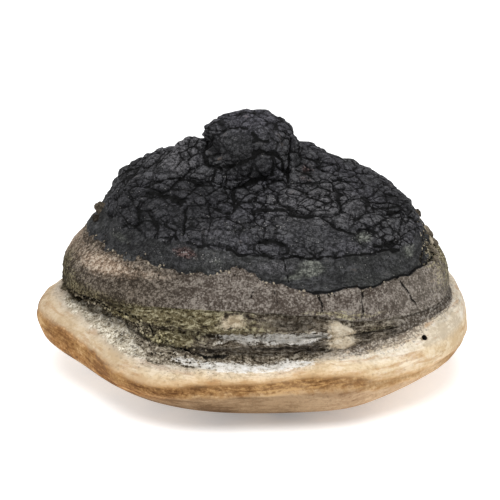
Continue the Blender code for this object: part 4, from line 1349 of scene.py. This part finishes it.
speckled = times_plus(uneven, 0.8, times(speckled, 1.1))
speckled = torn_here(speckled, 1.1 * MM, 1.6, 0.15)
speckled = times(speckled, times(on_margin, 0.75))
paint = over(speckled, paint, "#6c6156", "#a5988a", "#d6c9b6", grain=sandy)
pits = times(specks(st, ground, 0.7 * MM, 0.12), near_edge)
paint = mix(st, times(pits, 0.6), paint, colour("#4a4138"))
print("margin painted")

# %% [markdown]
# Now the painted attributes get their looks. One loop serves most of them, because each is three
# tones over what is there, through a mask torn along the growth. The white bloom at the left end of
# the margin is crumbly instead, so it has grains of its own and dark pits between them.

# %% The soft spots of colour
SpotLook = namedtuple("SpotLook", "dark middle light grain tear softness")
SPOT_LOOKS = {
    "ochre": SpotLook("#7d6a59", "#b09a85", "#d8c8b5", band_grain, 0.35, 0.4),
    "umber": SpotLook("#2b2517", "#4a422f", "#7a7156", band_grain, 0.4, 0.35),
    "algae": SpotLook("#3a321e", "#776d4f", "#bdb594", thready, 0.9, 0.25),
    "dust": SpotLook("#5b5147", "#82796f", "#b0a89e", sandy, 0.9, 0.4),
    "cream": SpotLook("#b3a083", "#dccbb0", "#f0e3cc", margin_grain, 0.4, 0.25),
    "milk": SpotLook("#b8b1a5", "#f3eee5", "#fefcf8", thready, 0.7, 0.2),
    "black_patches": SpotLook("#17130f", "#332d26", "#7a7268", thready, 0.9, 0.2),
    "tan": SpotLook("#a98c6c", "#c4ad8f", "#d6c4a8", margin_grain, 0.5, 0.3),
}
torn_along = minus(thready, 0.5)
for paint_name, look in SPOT_LOOKS.items():
    amount = stored(paint_name)
    mask = torn_here(times_plus(torn_along, look.tear, amount), 1.6 * MM, 0.9, look.softness)
    mask = times(mask, ramp(amount, 0.05, 0.25, 0.0, 0.9))
    paint = over(mask, paint, look.dark, look.middle, look.light, grain=look.grain)
crumbly_side = ramp(turn_at, 50, 34)
thread_gaps = times(thread_gaps, crumbly_side)
pale_here = larger(stored("cream"), stored("milk"))
thread_gaps = times(thread_gaps, ramp(pale_here, 0.2, 0.7, 1.0, 0.25))
paint = mix(st, times(thread_gaps, 0.7), paint, colour("#1c1711"))
bloom_mask = torn_here(stored("bloom"), 4 * MM, 1.2, 0.2)
bloom_grains = granules(st, ground, 0.9 * MM)
bloom_grain = blend_of((fine, 0.6), (grit, 0.4), (coarse, 0.3))
paint = over(bloom_mask, paint, "#877b67", "#cbc0aa", "#f5eede", grain=bloom_grain)
patchy = torn_here(minus(noise_at(st, ground, 7 * MM), 0.08), 2 * MM, 0.9, 0.1)
bloom_pits = times(bloom_grains["Gap"], patchy, bloom_mask)
bloom_pits = times(bloom_pits, ramp(below_margin, 2.4, 0.4, 0.25, 1.0))
paint = mix(st, times(bloom_pits, 0.7), paint, colour("#3f372d"))
print("spots painted:", list(SPOT_LOOKS) + ["bloom"])

# %% [markdown]
# Below the lip the skin is the open ends of thousands of fine tubes, under half a millimetre wide.
# They are too small for the mesh, so they are specks of a darker tan, and painted shade darkens the
# left and middle of this surface. The lip itself is stained rust-brown on the left, and a brown line
# lies in the crease under it, partly stain and partly painted shadow, with a darker core of painted
# shade in the middle.

# %% Pore surface, the rusty stain along the lip and the painted shadow in its crease
on_pores = ramp(warped_lip, 2.4, 5.0)
pore_grain = blend_of((broad, 0.5), (fine, 0.2), (lines, 0.3))
paint = over(on_pores, paint, "#98785a", "#ba9b7a", "#cdb190", grain=pore_grain)
# Painted shade: the pore surface darker on the left and in the middle
belly_painted_shade = times(on_pores, ramp(turn_at, 36, 8))
paint = over(belly_painted_shade, paint, "#745a40", "#957a5c", "#ac9070", grain=pore_grain)
pores = specks(st, ground, 0.45 * MM, 0.5)
paint = mix(st, times(pores, on_pores, 0.3), paint, colour("#7c5f43"))
stain_mask = torn_here(stored("stain"), 6 * MM, 1.1, 0.35)
stain_grain = blend_of((broad, 0.3), (fine, 0.3), (lines, 0.5))
paint = over(times(stain_mask, 0.85), paint, "#6f4723", "#a3733f", "#cfa778", grain=stain_grain)
# The brown line in the crease under the lip: partly stain, partly painted shadow
lip_shadow = times(ramp(warped_lip, -1.2, 0.6), ramp(warped_lip, 5.0, 2.0))
lip_shadow = times(lip_shadow, ramp(turn_at, 14, 34, 0.85, 0.5))
paint = over(lip_shadow, paint, "#7b532f", "#a37c4d", "#c9a475", grain=pore_grain)
# Painted shade: the darker core of that line, in the middle
lip_sharp = times_plus(wavering, 1.6, below_lip)
lip_core = times(ramp(lip_sharp, -0.4, 0.3), ramp(lip_sharp, 4.2, 1.8))
lip_core = times(lip_core, ramp(turn_at, -46, -28))
lip_core = times(lip_core, ramp(turn_at, 44, 20, 0.0, 0.9))
lip_grain = blend_of((growth_lines(st, growth_at, 0.8 * MM), 0.7), (fine, 0.4), (broad, 0.2))
paint = over(times(lip_core, 0.85), paint, "#52331a", "#835d37", "#b8915f", grain=lip_grain)
print("underside painted")

# %% [markdown]
# Painted shade darkens the deepest grooves over every colour: the gaps between plates, the named
# cracks and the undercut where the crust ends. Then the same masks and grains feed a Bump node, each
# with its own share, so that what looks like a crack also shades like one. The whole fungus is matt.

# %% Painted shade in the grooves, roughness and bump
# Painted shade in the plate gaps, the named cracks and under the crust's rim
plate_line = ramp(times_plus(wavering, 0.8, plate_gap_at), 0.2, 0.6, 1.0, 0.0)
plate_line = times(plate_line, cracking)
crack_line = ramp(times_plus(wavering, 0.6, crack_at), 0.28, 0.6, 1.0, 0.0)
rim_gap_line = calc(st, "ABSOLUTE", times_plus(wavering, 1.0, plus(below_crust, 0.5)))
rim_line = times(ramp(rim_gap_line, 0.5, 0.2), ramp(turn_at, 10, 24))
deep = larger(plate_line, crack_line, rim_line)
paint = mix(st, times(deep, 0.93), paint, colour("#080807"))
st.links.new(paint, skin_shader.inputs["Base Color"])
matt = times_plus(on_band, 0.2, 0.65)
matt = times_plus(minus(grit, 0.5), 0.2, matt)
st.links.new(ramp(matt, 0.0, 1.0), skin_shader.inputs["Roughness"])
smooth_below = ramp(ring_at, 18.3, 19.0, 1.0, 0.25)
edges_down = plus(ramp(cells, 0.0, 1.3, -0.5, 0.0), ramp(plate_gap_at, 0.0, 1.6, -0.4, 0.0))
relief = times(larger(fine_crack, deep), -0.35)
relief = times_plus(edges_down, cracking, relief)
relief = times_plus(hair_crack, -0.18, relief)
relief = times_plus(wrinkles, times(stored("smooth"), 0.7), relief)
relief = times_plus(times(coarse, smooth_below), 0.5, relief)
relief = times_plus(times(fine, smooth_below), 0.4, relief)
relief = times_plus(times(sandy, smooth_below), 0.3, relief)
relief = times_plus(times(lines, on_ledges), 0.35, relief)
relief = times_plus(times(thready, ledge_rings), 0.9, relief)
relief = times_plus(plus(pits, bloom_pits), -0.4, relief)
relief = times_plus(dark_grains, times(on_band, -0.25), relief)
relief = times_plus(upright, times(on_band, smooth_below), relief)
bump = add(st, "ShaderNodeBump", {"Height": relief, "Strength": 1.0, "Distance": MM})
st.links.new(bump.outputs[0], skin_shader.inputs["Normal"])
skin_shader.inputs["Specular IOR Level"].default_value = 0.12
print("the skin material has", len(st.nodes), "nodes")

# %% [markdown]
# ## Cut flesh
#
# Sawn through, such a fungus is brown and corky. Each year's layer of tubes lies under the last, so
# the cut shows long arcs one below another, crossed by fine tubes that run down. A dark rind goes
# round the top. The mesh knows how far each point of the cut lies from the rim.

# %% The flesh material
ft = flesh_tree
where = add(ft, "ShaderNodeTexCoord").outputs["Object"]
rim_gap = attribute(ft, "rim_depth")
flat_place = add(ft, "ShaderNodeSeparateXYZ", {0: where}).outputs
wobble = calc(ft, "MULTIPLY", calc(ft, "SUBTRACT", noise_at(ft, where, 14 * MM), 0.5), 9 * MM)
high = calc(ft, "MULTIPLY", flat_place["Z"], 1.15)
squares = calc(ft, "ADD", calc(ft, "POWER", flat_place["X"], 2.0), calc(ft, "POWER", high, 2.0))
arc = calc(ft, "ADD", calc(ft, "POWER", squares, 0.5), wobble)
turn_of = calc(ft, "ARCTAN2", flat_place["X"], calc(ft, "ADD", high, 4 * MM))
fibre_place = {0: calc(ft, "MULTIPLY", turn_of, 0.07), 1: calc(ft, "MULTIPLY", arc, 0.1)}
fibres = add(ft, "ShaderNodeCombineXYZ", fibre_place)
tubes = noise_at(ft, fibres.outputs[0], 0.9 * MM, 3.0, 0.6)
layer_place = add(ft, "ShaderNodeCombineXYZ", {0: calc(ft, "MULTIPLY", turn_of, 0.02), 1: arc})
layers = growth_lines(ft, layer_place.outputs[0], 5 * MM)
years = calc(ft, "SINE", calc(ft, "MULTIPLY", arc, 2 * math.pi / (9.5 * MM)))
cork = noise_at(ft, where, 0.8 * MM, 3.0, 0.6)
flesh_grain = calc(ft, "MULTIPLY_ADD", layers, 0.35, calc(ft, "MULTIPLY", cork, 0.25))
flesh_grain = calc(ft, "MULTIPLY_ADD", tubes, 0.4, flesh_grain)
flesh_grain = step(ft, flesh_grain, 0.36, 0.64)
flesh = tones(ft, flesh_grain, "#5c3d24", "#80593a", "#a27b55")
year_line = step(ft, years, 0.86, 0.99, 0.0, 0.75)
flesh = mix(ft, year_line, flesh, colour("#47301d"))
rind = torn(ft, step(ft, rim_gap, 4.5, 0.5), where, 3 * MM, 0.7, 0.15)
low_down = step(ft, flat_place["Z"], 30 * MM, 40 * MM)
flesh = mix(ft, calc(ft, "MULTIPLY", rind, low_down), flesh, colour("#231b16"))
pale_rim = calc(ft, "MULTIPLY", rind, calc(ft, "SUBTRACT", 1.0, low_down))
flesh = mix(ft, calc(ft, "MULTIPLY", pale_rim, 0.7), flesh, colour("#c9a97f"))
flesh = mix(ft, calc(ft, "MULTIPLY", specks(ft, where, 1.1 * MM, 0.12), 0.5), flesh, colour("#c3a079"))
ft.links.new(flesh, flesh_shader.inputs["Base Color"])
ft.links.new(step(ft, cork, 0.2, 0.8, 0.82, 0.98), flesh_shader.inputs["Roughness"])
flesh_relief = calc(ft, "MULTIPLY_ADD", tubes, 0.35, calc(ft, "MULTIPLY", cork, 0.3))
flesh_relief = calc(ft, "MULTIPLY_ADD", year_line, -0.25, flesh_relief)
flesh_bump = add(ft, "ShaderNodeBump", {"Height": flesh_relief, "Strength": 1.0, "Distance": MM})
ft.links.new(flesh_bump.outputs[0], flesh_shader.inputs["Normal"])
print("the flesh material has", len(ft.nodes), "nodes")

# %% [markdown]
# The wall of the beetle's hole is gnawed flesh, painted almost black as the shade inside the hole.
# Only its first millimetre shows, but it gets three tones too, because a single one would look like a
# printed dot.

# %% The hole's wall, painted dark as shade
ht = hole_tree
hole_place = add(ht, "ShaderNodeTexCoord").outputs["Object"]
# Painted shade: the hole's wall almost black, in three close tones
hole_shade_colour = tones(ht, noise_at(ht, hole_place, 0.7 * MM), "#0d0907", "#1a120c", "#2c2017")
ht.links.new(hole_shade_colour, hole_shader.inputs["Base Color"])
print("hole material ready")

# %% [markdown]
# ## Crumbs
#
# Bits of crust, bark dust and dry algae lie in the hollows and along the broken edge of the crust.
# There are over a thousand, so Geometry Nodes sow them: points are spread where the crumbs attribute
# says, each carries a small faceted stone of random size and turn, and the stones' corners are
# pushed about so that no two look alike. Each keeps a random tone, and the algae and bloom under it.

# %% The crumb material
crumb_material, ct, crumb_shader = material_named("crumbs")
crumb_place = add(ct, "ShaderNodeTexCoord").outputs["Object"]
crumb_grain = calc(ct, "MULTIPLY_ADD", noise_at(ct, crumb_place, 0.8 * MM), 0.5, attribute(ct, "tone"))
crumb_grain = calc(ct, "SUBTRACT", crumb_grain, 0.25)
crumb_colour = tones(ct, crumb_grain, "#26211c", "#6a6154", "#ada28f")
crumb_colour = mix(
    ct, attribute(ct, "bloom"), crumb_colour, tones(ct, crumb_grain, "#847b6d", "#c9c0b0", "#ebe6da")
)
mossy = tones(ct, crumb_grain, "#584f34", "#938a64", "#c8c096")
crumb_colour = mix(ct, calc(ct, "MULTIPLY", attribute(ct, "algae"), 0.8), crumb_colour, mossy)
ct.links.new(crumb_colour, crumb_shader.inputs["Base Color"])
ct.links.new(step(ct, crumb_grain, 0.0, 1.0, 0.95, 0.8), crumb_shader.inputs["Roughness"])
crumb_relief = noise_at(ct, crumb_place, 0.5 * MM)
crumb_bump = add(ct, "ShaderNodeBump", {"Height": crumb_relief, "Distance": 0.3 * MM})
ct.links.new(crumb_bump.outputs[0], crumb_shader.inputs["Normal"])
crumb_shader.inputs["Specular IOR Level"].default_value = 0.15
print("crumb material ready")

# %% The sowing tree
SOWING = {"Crumbs per Square Metre": 1.5e6, "Smallest": 0.22, "Largest": 0.8, "Seed": 7}


def random_in(tree, low, high, seed, kind="FLOAT"):
    """A random number or vector for each point."""
    made = add(tree, "FunctionNodeRandomValue", data_type=kind)
    at = {"FLOAT": (2, 3, 1), "FLOAT_VECTOR": (0, 1, 0)}[kind]
    for place, value in ((at[0], low), (at[1], high)):
        if isinstance(value, bpy.types.NodeSocket):
            tree.links.new(value, made.inputs[place])
        else:
            made.inputs[place].default_value = value
    made.inputs["Seed"].default_value = seed
    return made.outputs[at[2]]


def sowing_tree():
    """Faceted stones on the faces, as thick as the crumbs attribute says."""
    tree, given, result = new_geometry_tree("sowing", SOWING)
    crumbs = named(tree, "crumbs")
    density = calc(tree, "MULTIPLY", calc(tree, "POWER", crumbs, 1.5), given["Crumbs per Square Metre"])
    values = {"Mesh": given["Geometry"], "Density": density, "Seed": given["Seed"]}
    sown = add(tree, "GeometryNodeDistributePointsOnFaces", values)
    toned = add(
        tree,
        "GeometryNodeStoreNamedAttribute",
        {"Geometry": sown.outputs["Points"], "Name": "tone", "Value": random_in(tree, 0.0, 1.0, 3)},
    )
    stone = add(tree, "GeometryNodeMeshIcoSphere", {"Radius": MM, "Subdivisions": 1})
    size = random_in(tree, given["Smallest"], given["Largest"], 5)
    shape = random_in(tree, (0.7, 0.7, 0.45), (1.2, 1.2, 0.9), 8, "FLOAT_VECTOR")
    scaled = add(tree, "ShaderNodeVectorMath", {0: shape, "Scale": size}, operation="SCALE")
    turned = random_in(tree, (0, 0, 0), (6.28, 6.28, 6.28), 4, "FLOAT_VECTOR")
    values = {"Points": toned.outputs[0], "Instance": stone.outputs["Mesh"]}
    values.update({"Rotation": turned, "Scale": scaled.outputs[0]})
    laid = add(tree, "GeometryNodeInstanceOnPoints", values)
    real = add(tree, "GeometryNodeRealizeInstances", {0: laid.outputs[0]})
    place = add(tree, "GeometryNodeInputPosition").outputs[0]
    jolt = add(tree, "ShaderNodeTexNoise", {"Vector": place, "Scale": 1 / (0.8 * MM)})
    centred = add(tree, "ShaderNodeVectorMath", {0: jolt.outputs["Color"], 1: (-0.5, -0.5, -0.5)})
    values = {0: centred.outputs[0], "Scale": 0.5 * MM}
    push = add(tree, "ShaderNodeVectorMath", values, operation="SCALE")
    values = {"Geometry": real.outputs[0], "Offset": push.outputs[0]}
    moved = add(tree, "GeometryNodeSetPosition", values)
    dressed = add(
        tree, "GeometryNodeSetMaterial", {"Geometry": moved.outputs[0], "Material": crumb_material}
    )
    tree.links.new(dressed.outputs[0], result.inputs[0])
    return tree


field = bpy.data.objects.new("field", skin.data.copy())
bpy.context.scene.collection.objects.link(field)
with_tree(field, sowing_tree(), SOWING)
crumbs_piece = baked(field, "crumbs")
crumbs_piece.data.materials.clear()
crumbs_piece.data.materials.append(crumb_material)
crumbs_piece.data.polygons.foreach_set("material_index", [0] * len(crumbs_piece.data.polygons))
print(len(crumbs_piece.data.polygons) // 20, "crumbs,", len(crumbs_piece.data.polygons), "faces")

# %% [markdown]
# A few larger bits of crust stand out at the edges: a nub high on the left, and loose flakes where
# the band frays on the right. Each starts as a fine ball, is flattened, and is roughened with noise.

# %% Nub and flakes
FLAKE_LIFT = 0.9 * MM
Flake = namedtuple("Flake", "turn ring wide tall thick tone")
FLAKES = [
    Flake(-87, 8.3, 3.0, 3.0, 3.4, 0.35), Flake(-84, 8.65, 2.2, 2.0, 2.4, 0.25),
    Flake(87, 9.2, 2.4, 1.8, 1.2, 0.6), Flake(91, 9.7, 2.0, 2.5, 1.3, 0.5),
    Flake(84, 9.9, 1.9, 1.4, 0.9, 0.75), Flake(88, 10.4, 2.2, 2.0, 1.2, 0.45),
    Flake(80, 10.3, 1.6, 2.1, 1.0, 0.55), Flake(93, 8.6, 1.5, 1.8, 1.1, 0.35),
    Flake(76, 10.9, 2.0, 1.3, 0.9, 0.55), Flake(84, 8.5, 1.3, 1.5, 0.9, 0.65),
]  # fmt: skip


def flake_mesh(work, flake, tone_layer):
    """One rough, flattened ball just off the skin."""
    at = (np.array([[flake.ring]]), np.array([[flake.turn]]))
    centre = Vector(loft(*at)[0, 0])
    side = (Vector(loft(at[0], at[1] + 1)[0, 0]) - centre).normalized()
    down = (Vector(loft(at[0] + 0.2, at[1])[0, 0]) - centre).normalized()
    out_way = down.cross(side).normalized()
    made = bmesh.ops.create_icosphere(work, subdivisions=3, radius=1.0)["verts"]
    for vertex in made:
        ball = vertex.co.copy()
        rough = 1 + 0.45 * noise.noise(ball * 1.7 + centre / (4 * MM)) + 0.2 * noise.noise(ball * 5)
        local = side * ball.x * flake.wide + down * ball.y * flake.tall + out_way * ball.z * flake.thick
        vertex.co = centre + out_way * FLAKE_LIFT + local * rough * MM
        vertex[tone_layer] = flake.tone


def add_flakes(piece):
    """Adds every flake to the piece's mesh."""
    work = bmesh.new()
    work.from_mesh(piece.data)
    tone_layer = work.verts.layers.float["tone"]
    for flake in FLAKES:
        flake_mesh(work, flake, tone_layer)
    bmesh.ops.recalc_face_normals(work, faces=work.faces[:])
    work.to_mesh(piece.data)
    work.free()


add_flakes(crumbs_piece)
print(len(FLAKES), "flakes added;", len(crumbs_piece.data.polygons), "faces in all")

# %% [markdown]
# ## Riding and standing in
#
# The skin and the crumbs take the place of the plain solid and move with its one body.

# %% Tell the frame
for piece in (skin, crumbs_piece):
    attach(piece, "root")
    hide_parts("conk")
print("pieces:", skin.name, crumbs_piece.name)

# %% [markdown]
# ## Floor, light and camera
#
# The photograph is a studio shot on white: a big soft light overhead, light from all round,
# and only a faint shadow close to the object. The floor is so brightly lit that it goes white, and
# greys only where the fungus keeps the light off it. It also glows a little, as a light table does,
# less under the fungus than beside it, which keeps the shadow as faint as in the photograph. The
# camera looks down about twenty degrees through a long lens.

# %% Floor
GLOW_MIDDLE, DIM_GLOW, BRIGHT_GLOW = 12 * MM, 0.22, 0.57
FLOOR_SIZE, FLOOR_DROP = 8, 0.2 * MM
floor_material, floor_tree, floor_shader = material_named("studio_floor")
floor_place = add(floor_tree, "ShaderNodeTexCoord").outputs["Object"]
floor_grain = noise_at(floor_tree, floor_place, 0.4)
floor_colour = tones(floor_tree, floor_grain, "#f1f1f1", "#f3f3f3", "#f5f5f5")
floor_tree.links.new(floor_colour, floor_shader.inputs["Base Color"])
floor_shader.inputs["Roughness"].default_value = 0.9
across_floor = add(floor_tree, "ShaderNodeSeparateXYZ", {0: floor_place}).outputs["X"]
sideways = calc(floor_tree, "ABSOLUTE", calc(floor_tree, "SUBTRACT", across_floor, GLOW_MIDDLE))
glow = step(floor_tree, sideways, -10 * MM, 100 * MM, DIM_GLOW, BRIGHT_GLOW)
glow = calc(floor_tree, "MULTIPLY", glow, step(floor_tree, sideways, 110 * MM, 200 * MM, 1.0, 0.3))
glow_colour = add(floor_tree, "ShaderNodeCombineColor", {0: glow, 1: glow, 2: glow}).outputs[0]
floor_tree.links.new(glow_colour, floor_shader.inputs["Emission Color"])
floor_shader.inputs["Emission Strength"].default_value = 1.0
floor_shader.inputs["Specular IOR Level"].default_value = 0.1
bpy.ops.mesh.primitive_plane_add(size=FLOOR_SIZE)
floor = bpy.context.object
floor.name = "studio_floor"
floor.location.z = -FLOOR_DROP
floor.data.materials.append(floor_material)
print("floor", FLOOR_SIZE, "m wide")

# %% Light
ROOM_LIGHT = 0.45
KEY_FROM, KEY_STRENGTH, KEY_SPREAD = (-0.08, -0.32, 1.0), 2.2, 45
world = bpy.data.worlds.new("studio")
world.use_nodes = True
world.node_tree.nodes["Background"].inputs["Color"].default_value = (1, 1, 1, 1)
world.node_tree.nodes["Background"].inputs["Strength"].default_value = ROOM_LIGHT
bpy.context.scene.world = world


def soft_light(name, toward, strength, spread):
    """A far, wide light that shines the same everywhere, coming from a direction."""
    light = bpy.data.lights.new(name, "SUN")
    light.energy = strength
    light.angle = math.radians(spread)
    made = bpy.data.objects.new(name, light)
    made.rotation_euler = Vector(toward).to_track_quat("Z", "Y").to_euler()
    bpy.context.scene.collection.objects.link(made)


soft_light("key", KEY_FROM, KEY_STRENGTH, KEY_SPREAD)

# %% Camera
TILT = math.radians(20)
DISTANCE = 1.15
METRES_PER_PIXEL = 0.468 * MM
PICTURE = 500
SENSOR = 36
VIEW_MIDDLE = (-1.64 * MM, 53.35 * MM)
toward = Vector((0, -math.cos(TILT), math.sin(TILT)))
upward = Vector((0, math.sin(TILT), math.cos(TILT)))
middle = Vector((WIDEST_X, WIDEST_Y, 0))
eye = middle + toward * DISTANCE
target = middle + Vector((VIEW_MIDDLE[0], 0, 0)) + upward * VIEW_MIDDLE[1]
lens = bpy.data.cameras.new("camera")
lens.sensor_width = SENSOR
lens.lens = SENSOR * (target - eye).length / (PICTURE * METRES_PER_PIXEL)
lens.clip_start = 0.01
camera = bpy.data.objects.new("camera", lens)
camera.location = eye
camera.rotation_euler = (target - eye).to_track_quat("-Z", "Y").to_euler()
bpy.context.scene.collection.objects.link(camera)
bpy.context.scene.camera = camera
bpy.context.scene.view_settings.view_transform = "Standard"
print("lens", round(lens.lens), "mm, looking down about", round(math.degrees(TILT)), "degrees")
